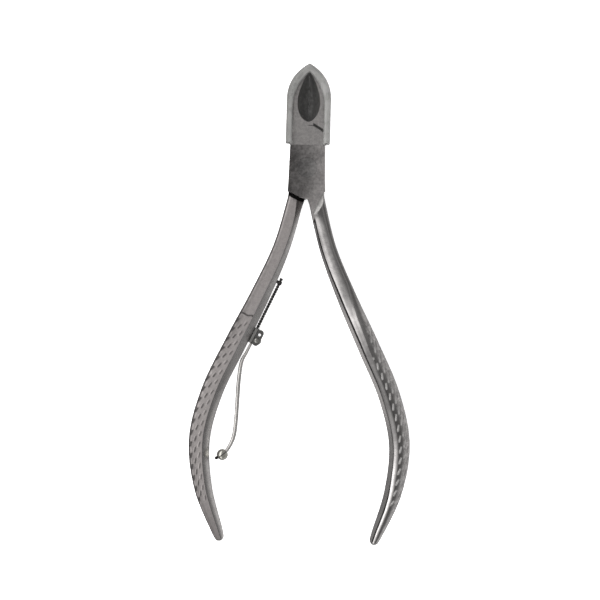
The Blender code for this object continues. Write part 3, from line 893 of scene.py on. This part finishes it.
def arch_half_width(y, tip_y, half_width, arch):
    """Half the width of a pointed arch whose sides turn parallel arch below its tip."""
    depth = tip_y - y
    if depth >= arch:
        return half_width
    radius = (half_width ** 2 + arch ** 2) / (2 * half_width)
    return max(math.sqrt(radius ** 2 - (arch - depth) ** 2) - (radius - half_width), 0.0)


def plate_outline():
    """The front lap plate: its right side runs on into the handle as a tapering tongue."""
    left = [(-x, y) for x, y in reversed(PLATE_SIDE)]
    bottom = arc(PLATE_ARC, 228, 265, 16, (ARC_CENTRE_X, 0.0))
    top = [SHOULDER_START, (-JAW_MEETING, SHOULDER_START[1]), (-3.9, SHOULDER_START[1])]
    return left[:-1] + bottom + list(TONGUE) + list(PLATE_SIDE) + top


def inset(outline, distance):
    """The outline moved inwards, for a chamfer."""
    area = sum(a[0] * b[1] - b[0] * a[1] for a, b in zip(outline, outline[1:] + outline[:1]))
    turn = 1 if area > 0 else -1
    moved = []
    for i, point in enumerate(outline):
        before = Vector(point) - Vector(outline[i - 1])
        after = Vector(outline[(i + 1) % len(outline)]) - Vector(point)
        sides = [Vector((-edge.y, edge.x)).normalized() * turn for edge in (before, after)]
        middle = (sides[0] + sides[1]).normalized()
        stretch_by = min(1 / max(middle.dot(sides[0]), 0.35), 2.0)
        moved.append(tuple(Vector(point) + middle * distance * stretch_by))
    return moved


def plate_solid():
    outline = plate_outline()
    top = THICKNESS
    levels = ((outline, LAP_FACE_Z), (outline, top - PLATE_CHAMFER), (inset(outline, PLATE_CHAMFER), top))
    bm = loft([[(x, y, z) for x, y in ring] for ring, z in levels])
    for face in bm.faces:
        if all(abs(vert.co.z - LAP_FACE_Z) < 1e-4 for vert in face.verts):
            face.material_index = IN_SHADE
    return bm


def milling_cutter():
    """Clears the handle above the plate's face, and leaves a bright fillet along its edge."""
    start, end = (Vector(point) for point in MILLED_EDGE)
    along = (end - start).normalized()
    away = Vector((-along.y, along.x))
    rings = []
    for rise in (-0.01, 0.02, 0.06, 0.12, 0.2, 0.3, 0.42, 0.6, 1.2):
        z = THICKNESS + rise
        shift = math.sqrt(2 * MILLED_FILLET * max(rise, 0.0))
        a, b = start + away * shift, end + away * shift
        rings.append([(-7.0, 12.0, z), (-7.0, -18.0, z), (b.x - 1.2, -18.0, z), (b.x, b.y, z), (a.x, a.y, z),
                      (a.x, 12.0, z)])
    return loft(rings)


def jaw_thinning(y):
    """How far the jaws have thinned at y, from 0 to 1 at their tip."""
    share = (y - JAW_THINS_FROM_Y) / (JAW_TIP_Y - JAW_THINS_FROM_Y)
    return max(0.0, share) ** JAW_THINNING_POWER


def jaw_loft():
    """The left jaw, thinner towards its tip, with its outer edges eased."""
    rings = []
    steps = 34
    tip = JAW_TIP_Y - 0.12
    for i in range(steps + 1):
        share = math.sin(0.5 * math.pi * i / steps)
        y = JAW_ROOT_Y + (tip - JAW_ROOT_Y) * share
        width = arch_half_width(y, JAW_TIP_Y, JAW_HALF_WIDTH, JAW_ARCH)
        front = THICKNESS - INSET - (THICKNESS - JAW_TIP_FRONT) * jaw_thinning(y)
        back = INSET + JAW_TIP_BACK * jaw_thinning(y)
        height = front - back
        ease = JAW_EASE * height * min(1.0, max(0.0, (y - JAW_EASE_FROM_Y) / 3.0))
        inner = -JAW_MEETING
        turn = [math.radians(90 * k / 8) for k in range(9)]
        ring = [Vector((inner, y, back)), Vector((inner, y, front))]
        for level, rise, angles in ((front, -ease, turn), (back, ease, turn[::-1])):
            for a in angles:
                x = inner - width * (JAW_EASED_FROM + (1 - JAW_EASED_FROM) * math.sin(a))
                ring.append(Vector((x, y, level + rise * (1 - math.cos(a)))))
        rings.append(ring)
    return loft(rings)


def leaf_swell(y):
    """How wide the leaf is at y, from 0 at its ends to 1."""
    share = min(max((y - LEAF_BOTTOM_Y) / (LEAF_TOP_Y - LEAF_BOTTOM_Y), 0.0), 1.0)
    return max(math.sin(math.pi * share ** LEAF_SKEW), 0.0) ** LEAF_FULLNESS


def leaf_loft():
    """The hollow between the jaws: leaf shaped on the face, and a rounded trough in depth."""
    rings = []
    steps = 30
    for i in range(1, steps):
        share = (1 - math.cos(math.pi * i / steps)) / 2
        y = LEAF_BOTTOM_Y + (LEAF_TOP_Y - LEAF_BOTTOM_Y) * share
        swell = leaf_swell(y)
        face = THICKNESS - (THICKNESS - JAW_TIP_FRONT) * jaw_thinning(y)
        width = LEAF_HALF_WIDTH * swell
        depth = LEAF_DEPTH * swell ** 0.7
        ring = [(width, y, THICKNESS + 1), (-width, y, THICKNESS + 1)]
        for k in range(19):
            a = math.pi * k / 18
            ring.append((-width * math.cos(a), y, face - depth * math.sin(a)))
        rings.append(ring)
    return loft(rings)


def shoulder_cutter():
    """Clears the left jaw from the back level below its slanting shoulder."""
    slope_end_x, slope_end_y = PLATE_SIDE[-1]
    start_x, start_y = SHOULDER_START
    fall = (slope_end_y - start_y) / (slope_end_x - start_x)
    outer = 8.0
    top = start_y + SHOULDER_GAP
    seat = start_y + INSET
    outline = [(start_x, seat), (-start_x, seat), (-start_x, top), (-outer, top + fall * (outer - start_x)),
               (-outer, 2.0), (start_x, 2.0)]
    return prism(outline, -1.0, LAP_FACE_Z + INSET)


def rivet_hole():
    shank = RIVET_RADIUS + RIVET_CLEARANCE
    head = RIVET_HEAD_RADIUS + RIVET_CLEARANCE
    depth = RIVET_HEAD_DEPTH
    return turned([(head, -0.2), (head, 0.0), (shank, depth), (shank, THICKNESS - depth),
                   (head, THICKNESS), (head, THICKNESS + 0.2)], segments=96)


def tree_of(points):
    """A search tree that finds the nearest of the points."""
    tree = KDTree(len(points))
    for i, point in enumerate(points):
        tree.insert(point, i)
    tree.balance()
    return tree


def lever_head(rings, materials, place):
    """The joint's end of a lever, by Boolean steps on the handle's first rings. The jaws' hollow
    is on the tool's front for both levers, so place says how this one lies."""
    jaw = combined(jaw_loft(), [(shoulder_cutter(), "DIFFERENCE", IN_SHADE)], materials)
    leaf = leaf_loft()
    leaf.transform(place)
    lap_cutter = turned([(SHOULDER_ARC, -1.0), (SHOULDER_ARC, LAP_FACE_Z + INSET)], (-ARC_CENTRE_X, 0.0), 128)
    return combined(loft(rings), [
        (lap_cutter, "DIFFERENCE", IN_SHADE),
        (milling_cutter(), "DIFFERENCE", FACET),
        (plate_solid(), "UNION", None),
        (jaw, "UNION", None),
        (leaf, "DIFFERENCE", HOLLOW),
        (rivet_hole(), "DIFFERENCE", IN_SHADE),
    ], materials)


def mark_head(bm, known):
    """Says where the joint's end is satin or polished, and where highlights and shade are painted
    on it. A place on the handle takes the details of the nearest of the known (point, details) pairs."""
    satin, recess_shade_and_highlight, tone_and_painted_light, rim, plate = (
        bm.verts.layers.float.new(name) for name in ("satin", "recess_shade_and_highlight", "tone_and_painted_light", "rim", "plate"))
    nearest = tree_of([point for point, _ in known])
    for vert in bm.verts:
        x, y, z = vert.co
        # How near the hollow's rim a place is, which sets the painted light there.
        vert[rim] = (abs(x) / (LEAF_HALF_WIDTH * max(leaf_swell(y), 0.05))) ** 2
        _, index, distance = nearest.find(vert.co)
        raised = z > THICKNESS + INSET and y < PLATE_SIDE[0][1]
        if distance < 1e-3 or raised:
            vert[satin], vert[recess_shade_and_highlight], vert[tone_and_painted_light] = known[index][1]
        else:
            # A painted highlight along the jaws' eased edges.
            edge = arch_half_width(y, JAW_TIP_Y, JAW_HALF_WIDTH, JAW_ARCH)
            eased = between(abs(x), JAW_EASED_FROM * edge, edge) if y > JAW_THINS_FROM_Y else 0.0
            vert[tone_and_painted_light] = 1 - (1 - JAW_EDGE_HIGHLIGHT) * eased
            vert[satin] = 0.5
            vert[plate] = 1.0
    return satin, recess_shade_and_highlight, tone_and_painted_light


def lever_mesh(materials, place):
    """One forging: the joint's end, and the long handle lofted on to it."""
    rings, zones = handle_rings()
    join = length_at_y(JOIN_Y)
    first = next(i for i, (length, _, _) in enumerate(rings) if length >= join - 1e-6)
    bm = lever_head([ring for _, ring, _ in rings[:first + 1]], materials, place)
    known = [pair for _, ring, details in rings[:first + 1] for pair in zip(ring, details)]
    satin, recess_shade_and_highlight, tone_and_painted_light = mark_head(bm, known)

    join_ring = rings[first][1]
    centre = sum(join_ring, Vector()) / len(join_ring)
    along = direction_at(join)
    ends = [face for face in bm.faces if all(abs((v.co - centre).dot(along)) < 1e-3 for v in face.verts)]
    bmesh.ops.delete(bm, geom=ends, context="FACES_ONLY")
    sharpen(bm)

    verts = list(bm.verts)
    tree = tree_of([vert.co for vert in verts])
    previous = [verts[tree.find(point)[1]] for point in join_ring]
    soft = ("back_grip", "back_band")
    creases = {i for i, zone in enumerate(zones) if zones[i - 1] != zone and zone not in soft}
    for _, ring, details in rings[first + 1:]:
        row = []
        for point, values in zip(ring, details):
            vert = bm.verts.new(point)
            vert[satin], vert[recess_shade_and_highlight], vert[tone_and_painted_light] = values
            row.append(vert)
        for i in range(len(row)):
            j = (i + 1) % len(row)
            bm.faces.new((previous[i], previous[j], row[j], row[i]))
        for i in creases:
            bm.edges.get((previous[i], row[i])).smooth = False
        previous = row
    bm.faces.new(previous)
    bmesh.ops.dissolve_degenerate(bm, dist=1e-5, edges=bm.edges)
    face_outwards(bm)
    bm.transform(place)
    return bm


def turn_over():
    """Half a turn about the tool's long axis, which swaps the front and back levers."""
    middle = Matrix.Translation((0, 0, MID_Z))
    return middle @ Matrix.Rotation(math.pi, 4, "Y") @ middle.inverted()


def make_levers():
    front_steel = lever_steel("front lever steel", (1.12, 1.09, 1.085))
    back_steel = lever_steel("back lever steel", (1.14, 1.10, 1.095))
    shade_steel = painted_shade_steel("painted-shade steel", 0.012, 0.03)
    hollow = hollow_steel("hollow-ground steel")
    facet = steel("milled facet steel", (0.24, 0.238, 0.235), (0.36, 0.355, 0.35), (0.22, 0.32))
    levers = (("front", front_steel, Matrix.Identity(4)), ("back", back_steel, turn_over()))
    for side, lever_material, place in levers:
        materials = [lever_material, shade_steel, hollow, facet]
        make_piece(f"{side}_lever_forging", lever_mesh(materials, place), materials,
                   f"{side}_half", f"{side}_lever", crisp=0)


def make_rivet():
    """A flush countersunk rivet with a fine turned edge on each face."""
    edge = 0.03
    depth = RIVET_HEAD_DEPTH
    profile = [(RIVET_HEAD_RADIUS - edge, 0.0), (RIVET_HEAD_RADIUS, edge), (RIVET_RADIUS, depth),
               (RIVET_RADIUS, THICKNESS - depth), (RIVET_HEAD_RADIUS, THICKNESS - edge),
               (RIVET_HEAD_RADIUS - edge, THICKNESS)]
    bm = turned(profile, segments=96)
    face_outwards(bm)
    satin, tone_and_painted_light, plate = (bm.verts.layers.float.new(name) for name in ("satin", "tone_and_painted_light", "plate"))
    for vert in bm.verts:
        # With plate set, the rivet takes the lap plate's painted shade.
        vert[plate] = 1.0
        vert[satin] = 0.5
        vert[tone_and_painted_light] = RIVET_TONE
    material = lever_steel("rivet steel", (1.0, 1.0, 1.0))
    make_piece("flush_rivet", bm, [material], "back_half", "pivot_rivet")


# ---------------------------------------------------------------- tip cap

def cap_ring(y, shrink, lip=0.0):
    """The cap's section at y: a rectangle with rounded corners. A lip lowers its middle."""
    tip_y = CAP_TIP_Y - CAP_TIP_DROP * shrink
    width = max(arch_half_width(y, tip_y, CAP_HALF_WIDTH - shrink, CAP_ARCH), 0.06)
    share = max(0.0, (y - CAP_THINS_FROM_Y) / (CAP_TIP_Y - CAP_THINS_FROM_Y)) ** 1.5
    depth = CAP_HALF_DEPTH + (CAP_TIP_HALF_DEPTH - CAP_HALF_DEPTH) * share - shrink
    corner = min(CAP_CORNER - 0.5 * shrink, 0.9 * width, 0.9 * depth)
    run = width - corner
    outline = []
    for side, start in ((1, 0), (-1, 180)):
        rise = side * (depth - corner)
        outline += arc(corner, start, start + 90, 9, (side * run, rise))
        outline += [(side * run * (1 - 2 * k / 24), side * depth) for k in range(1, 24)]
        outline += arc(corner, start + 90, start + 180, 9, (-side * run, rise))
    ring = []
    for x, z in outline:
        drop = lip * (1 - between(abs(x), CAP_LIP_HALF_WIDTH - 0.25, CAP_LIP_HALF_WIDTH + 0.25))
        ring.append((x, y - drop, MID_Z + z))
    return ring


def wall_edge(y, depth):
    """How far from the middle a line this deep inside the cap's outline is at y. Above the
    line's tip the distance is below zero."""
    tip_y = CAP_TIP_Y - CAP_TIP_DROP * depth
    return arch_half_width(y, tip_y, CAP_HALF_WIDTH - depth, CAP_ARCH) - 2 * max(y - tip_y, 0.0)


def make_cap():
    """The soft sleeve over the jaws, with a rolled mouth."""
    steps = 40

    def heights(low_y, tip_y):
        return [low_y + (tip_y - low_y) * math.sin(0.5 * math.pi * i / steps) for i in range(steps + 1)]

    def eased_lip(y):
        return CAP_LIP * (1 - between(y, CAP_BOTTOM_Y + CAP_LIP, CAP_BOTTOM_Y + 2.5))

    low = CAP_BOTTOM_Y + CAP_LIP
    high = CAP_TIP_Y - CAP_TIP_BLUNT
    outer = [cap_ring(y, 0.0, eased_lip(y)) for y in heights(low, high)]
    inner = [cap_ring(y, CAP_WALL, eased_lip(y)) for y in heights(low, high - CAP_TIP_DROP * CAP_WALL)]
    mouth = [cap_ring(low - 0.04, 0.12, CAP_LIP), cap_ring(low - 0.04, CAP_WALL - 0.12, CAP_LIP)]
    bm = loft(inner[::-1] + mouth[::-1] + outer)
    face_outwards(bm)
    wall = bm.verts.layers.float.new("wall")
    for vert in bm.verts:
        clear, dense = (wall_edge(vert.co.y, depth) for depth in CAP_DENSE)
        vert[wall] = between(abs(vert.co.x), clear, dense)
    materials = [clear_vinyl("clear vinyl")]
    cap = make_piece("clear_tip_cap", bm, materials, None, "jaw_cap", crisp=50)
    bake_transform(cap)


# ---------------------------------------------------------------- springs

def inner_edge(y):
    """The point on the left handle's inner side at height y, with its two directions."""
    length = length_at_y(y)
    x, centre_y, half_width, _ = station_at(length)
    along = direction_at(length)
    inward = Vector((along.y, -along.x, 0))
    edge = Vector((x, centre_y, 0)) + half_width * inward
    edge += along * ((y - edge.y) / along.y)
    return Vector((-edge.x, edge.y, MID_Z)), Vector((-inward.x, inward.y, 0)), Vector((along.x, -along.y, 0))


def lug_matrix():
    """The lug's own axes, placed so that its screw is on the arm's joint."""
    _, n, t = inner_edge(LUG_Y)
    edge = HINGE - HINGE_N * n
    return Matrix(((n.x, t.x, 0, edge.x), (n.y, t.y, 0, edge.y), (0, 0, 1, edge.z), (0, 0, 0, 1)))


def rod_ends():
    """The back spring's low end, its place in the post, and its free end."""
    low = lug_matrix() @ Vector((ROD_LOW_N, ROD_LOW_T, 0))
    edge, n, _ = inner_edge(POST_Y)
    top = edge + POST_N * n
    return low, top, top + ROD_OVERHANG * (top - low).normalized()


def make_lug():
    """A block on a stem, and two ears with a hinge hole and a spare hole."""
    stadium = (arc(EAR_RADIUS, 180, 360, 29, (HINGE_N, EAR_LOW_T))
               + arc(EAR_RADIUS, 0, 180, 29, (HINGE_N, EAR_HIGH_T)))
    base = prism(rectangle(LUG_BASE_N, LUG_BASE_T), 0.08 - EAR_OUTER_Z, EAR_OUTER_Z - 0.08)
    materials = [
        steel("lug steel", (0.10, 0.10, 0.10), (0.22, 0.218, 0.215), (0.28, 0.42), mottle=1400.0),
        # The foot's very dark steel is a painted shadow line between the strip and the ears.
        painted_shade_steel("lug foot shadow steel", 0.015, 0.04),
        steel("lug strip steel", (0.24, 0.238, 0.235), (0.38, 0.375, 0.37), (0.28, 0.42), mottle=1400.0),
    ]
    stem = cylinder_between(Vector((-STEM_DEPTH, STEM_T, 0)), Vector((LUG_BASE_N[0] + 0.1, STEM_T, 0)),
                            STEM_RADIUS)
    steps = []
    for outline, (low, high), index in (
            (stadium, (EAR_INNER_Z, EAR_OUTER_Z), 0),
            (rectangle(LUG_FOOT_N, LUG_FOOT_T), LUG_FOOT_Z, 1),
            (rectangle(LUG_STRIP_N, LUG_FOOT_T), LUG_STRIP_Z, 2)):
        steps += [(prism(outline, low, high), "UNION", index), (prism(outline, -high, -low), "UNION", index)]
    steps.append((stem, "UNION", 0))
    for radius, t in ((SCREW_RADIUS + FIT_GAP, 0), (EAR_HOLE_RADIUS, EAR_HOLE_T)):
        steps.append((turned([(radius, -2), (radius, 2)], (HINGE_N, t), 32), "DIFFERENCE", 0))
    bm = combined(base, steps, materials)
    bm.transform(lug_matrix())
    make_piece("spring_lug_with_ears", bm, materials, "back_half", "spring_lug", bevel=0.06)


def make_hinge_screw():
    """A domed, slotted screw through the ears."""
    seat = EAR_OUTER_Z + 0.02
    rim = seat + SCREW_HEAD_RIM
    top = seat + SCREW_HEAD_HEIGHT
    dome = [(SCREW_HEAD_RADIUS * math.cos(a), rim + (top - rim) * math.sin(a))
            for a in (math.radians(degrees) for degrees in range(0, 89, 8))]
    end = -EAR_OUTER_Z - NUT_HEIGHT - 0.2
    profile = [(SCREW_RADIUS, end), (SCREW_RADIUS, seat), (SCREW_HEAD_RADIUS, seat)]
    slot_width, slot_depth = SCREW_SLOT
    slot = prism(rectangle((-1, 1), (-slot_width / 2, slot_width / 2)), top - slot_depth, top + 0.3)
    slot.transform(Matrix.Rotation(0.6, 4, "Z"))
    material = steel("screw steel", (0.26, 0.26, 0.25), (0.42, 0.415, 0.40), (0.2, 0.32), mottle=1600.0)
    bm = combined(turned(profile + dome, segments=48), [(slot, "DIFFERENCE", STEEL)], [material])
    bm.transform(lug_matrix() @ Matrix.Translation((HINGE_N, 0, 0)))
    make_piece("domed_hinge_screw", bm, [material], "back_half", "hinge_screw")


def make_hinge_nut():
    """A chamfered hexagonal nut on the back of the lug."""
    seat = -EAR_OUTER_Z - 0.02
    material = steel("nut steel", (0.34, 0.335, 0.33), (0.47, 0.46, 0.455), (0.24, 0.36), mottle=1600.0)
    low = seat - NUT_HEIGHT
    wide = NUT_RADIUS + 0.02
    chamfer = turned([(NUT_RADIUS - 0.2, low - 0.02), (wide, low + 0.16), (wide, seat + 0.1)], segments=48)
    bore = turned([(SCREW_RADIUS + 0.02, low - 1), (SCREW_RADIUS + 0.02, seat + 1)], segments=32)
    bm = combined(turned([(NUT_RADIUS, low), (NUT_RADIUS, seat)], segments=6),
                  [(chamfer, "INTERSECT", STEEL), (bore, "DIFFERENCE", STEEL)], [material])
    bm.transform(lug_matrix() @ Matrix.Translation((HINGE_N, 0, 0)))
    make_piece("hexagonal_hinge_nut", bm, [material], "back_half", "hinge_nut")


def make_post():
    """The pin in the handle, with the eye that steadies the top of the twisted spring."""
    edge, n, _ = inner_edge(POST_Y)
    low, top, end = rod_ends()
    along = (end - low).normalized()
    material = steel("post steel", (0.035, 0.035, 0.035), (0.09, 0.09, 0.09), (0.3, 0.45), mottle=1500.0)
    eye = cylinder_between(top - 0.4 * along, top + 0.4 * along, POST_EYE_RADIUS)
    bore = cylinder_between(low, end + along, STRAND_RADIUS + STRAND_OFFSET + 0.03)
    bm = combined(cylinder_between(edge - 0.6 * n, top, POST_RADIUS),
                  [(eye, "UNION", STEEL), (bore, "DIFFERENCE", STEEL)], [material])
    make_piece("rod_post_with_eye", bm, [material], "back_half", "rod_post", bevel=0.05)


def make_twist_rod():
    """Two thin wires twisted together."""
    low, _, end = rod_ends()
    axis = end - low
    turn = axis.to_track_quat("Z", "Y").to_matrix()
    side, up = turn.col[0], turn.col[1]
    count = round(axis.length / TWIST_PITCH * 22)
    strands = []
    for start in (0.0, math.pi):
        points = []
        for i in range(count + 1):
            share = i / count
            a = start + 2 * math.pi * share * axis.length / TWIST_PITCH
            points.append(low + axis * share + STRAND_OFFSET * (math.cos(a) * side + math.sin(a) * up))
        strands.append(tube(points, [STRAND_RADIUS] * len(points), sides=12))
    bm = joined(*strands)
    dark, light = (0.06, 0.06, 0.06), (0.16, 0.158, 0.155)
    material = steel("twisted wire steel", dark, light, (0.2, 0.34), mottle=1800.0)
    make_piece("twisted_back_spring", bm, [material], "back_half", "twist_rod", crisp=60)


def make_arm():
    """The arm's eye and its bent wire, whose end is rounded past the ball."""
    start = lug_matrix() @ Vector((HINGE_N - EYE_RADIUS, 0, 0))
    route = [(start.x, start.y, 0.3)]
    route += [(x, y, r) for (x, y), r in zip(ARM_ROUTE, ARM_RADII)]
    curve = smooth(route, 14)
    last, before = Vector(curve[-1][:2]), Vector(curve[-4][:2])
    away = (last - before).normalized()
    for k in range(1, 7):
        a = math.radians(15 * k)
        tip = last + away * ARM_RADII[-1] * 0.6 * math.sin(a)
        curve.append((tip.x, tip.y, ARM_RADII[-1] * max(math.cos(a), 0.08)))
    points = [Vector((x, y, MID_Z)) for x, y, _ in curve]
    wire = tube(points, [r for _, _, r in curve], sides=24)
    outline = [(EYE_RADIUS + EYE_WIRE * math.cos(a), EYE_WIRE * math.sin(a)) for a in full_turn(16)]
    eye = turned_ring(outline, segments=48)
    eye.transform(Matrix.Translation(HINGE))
    material = wire_steel("arm wire steel")
    make_piece("spring_arm_wire", joined(wire, eye), [material], "arm", "spring_arm", crisp=60)


def make_ball():
    """The polished split ball, bored for the wire and closed on it along a seam."""
    low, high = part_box("arm_ball")
    centre = (low + high) / 2 / MM
    radius = (high.z - low.z) / 2 / MM
    wire = Vector((*ARM_ROUTE[-1], MID_Z)) - Vector((*ARM_ROUTE[-3], MID_Z))
    start = math.degrees(math.asin(BALL_BORE / radius))
    bm = turned_ring([(across, z) for z, across in arc(radius, start, 180 - start, 33)])
    turn = wire.to_track_quat("Z", "Y").to_matrix().to_4x4()
    bm.transform(Matrix.Translation(centre) @ turn)
    along = wire.normalized()
    side = BALL_SEAM / 2 * Vector((-along.y, along.x, 0))
    seam = prism([(centre + end + edge)[:2] for end, edge in (
        (-2 * along, -side), (2 * along, -side), (2 * along, side), (-2 * along, side))], MID_Z, MID_Z + 2)
    materials = [
        steel("ball steel", (0.46, 0.46, 0.42), (0.62, 0.615, 0.57), (0.08, 0.18), mottle=1300.0, bump=0.08),
        # The seam's very dark steel is painted shade in the split.
        painted_shade_steel("ball seam shade", 0.02, 0.05),
    ]
    bm = combined(bm, [(seam, "DIFFERENCE", IN_SHADE)], materials)
    make_piece("polished_arm_ball", bm, materials, "arm", "arm_ball", crisp=45)


# ---------------------------------------------------------------- studio

def studio_light():
    """A soft studio: a bright bank on the left, a grey ceiling and a dimmer right side."""
    world = bpy.data.worlds.new("studio")
    bpy.context.scene.world = world
    world.use_nodes = True
    tree = world.node_tree
    background = tree.nodes["Background"]
    _, axes = place_in(tree, "Generated")
    lean = math_node(tree, "ARCTAN2", axes["X"], axes["Z"])
    ring = node(tree, "ShaderNodeValToRGB", {"Fac": stretch(tree, lean, -math.pi, math.pi)})
    stops = ((-180, 0.20), (-110, 0.20), (-90, 0.22), (-76, 0.24), (-62, 0.72), (-50, 1.0), (-30, 0.92),
             (-18, 0.36), (-7, 0.235), (8, 0.215), (24, 0.20), (55, 0.16), (75, 0.22), (92, 0.30),
             (115, 0.26), (180, 0.20))
    elements = ring.color_ramp.elements
    while len(elements) < len(stops):
        elements.new(0.5)
    for element, (degrees, level) in zip(elements, stops):
        element.position = (degrees + 180) / 360
        element.color = (level, level * 0.985, level * 0.975, 1.0)
    seen = node(tree, "ShaderNodeLightPath").outputs["Is Camera Ray"]
    backdrop = mixed(tree, seen, ring.outputs["Color"], (0.5, 0.5, 0.5, 1.0))
    tree.links.new(backdrop, background.inputs["Color"])
    background.inputs["Strength"].default_value = 2.0


def floor_light():
    """A broad lamp for the floor and the plastic, which the polished steel doesn't mirror."""
    lamp = bpy.data.lights.new("overhead", "SUN")
    lamp.energy = 3.4
    lamp.angle = math.radians(70)
    holder = add_object("overhead", lamp)
    holder.rotation_euler = (math.radians(12), math.radians(-14), 0)
    holder.visible_glossy = False


def make_floor():
    low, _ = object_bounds()
    bm = bmesh.new()
    bmesh.ops.create_grid(bm, x_segments=8, y_segments=8, size=2.0)
    material = bpy.data.materials.new("pale floor")
    floor = add_object("floor", to_mesh("floor", bm, [material]))
    floor.location = (0, 0, low.z - FLOOR_GAP * MM)
    tree, shader, _ = shader_of(material)
    place, _ = place_in(tree)
    colour = mixed(tree, noise(tree, place, 30.0), (0.94, 0.94, 0.94, 1.0), (0.96, 0.96, 0.96, 1.0))
    tree.links.new(colour, shader.inputs["Base Color"])
    shader.inputs["Roughness"].default_value = 0.9
    shader.inputs["Specular IOR Level"].default_value = 0.0
    shader.inputs["Emission Color"].default_value = (1.0, 1.0, 1.0, 1.0)
    shader.inputs["Emission Strength"].default_value = 0.6
    floor.visible_glossy = False


def make_camera():
    lens = bpy.data.cameras.new("camera")
    lens.sensor_width = SENSOR_WIDTH
    lens.lens = SENSOR_WIDTH * VIEW_HEIGHT / VIEW_WIDTH
    lens.clip_start = 0.01
    lens.clip_end = 20
    camera = add_object("camera", lens)
    camera.location = (VIEW_X * MM, VIEW_Y * MM, (MID_Z + VIEW_HEIGHT) * MM)
    camera.rotation_euler = (0, 0, math.radians(VIEW_LEAN))
    bpy.context.scene.camera = camera
    bpy.context.scene.view_settings.view_transform = "Standard"


make_camera()
make_levers()
make_rivet()
make_cap()
make_lug()
make_hinge_screw()
make_hinge_nut()
make_post()
make_twist_rod()
make_arm()
make_ball()
make_floor()
studio_light()
floor_light()
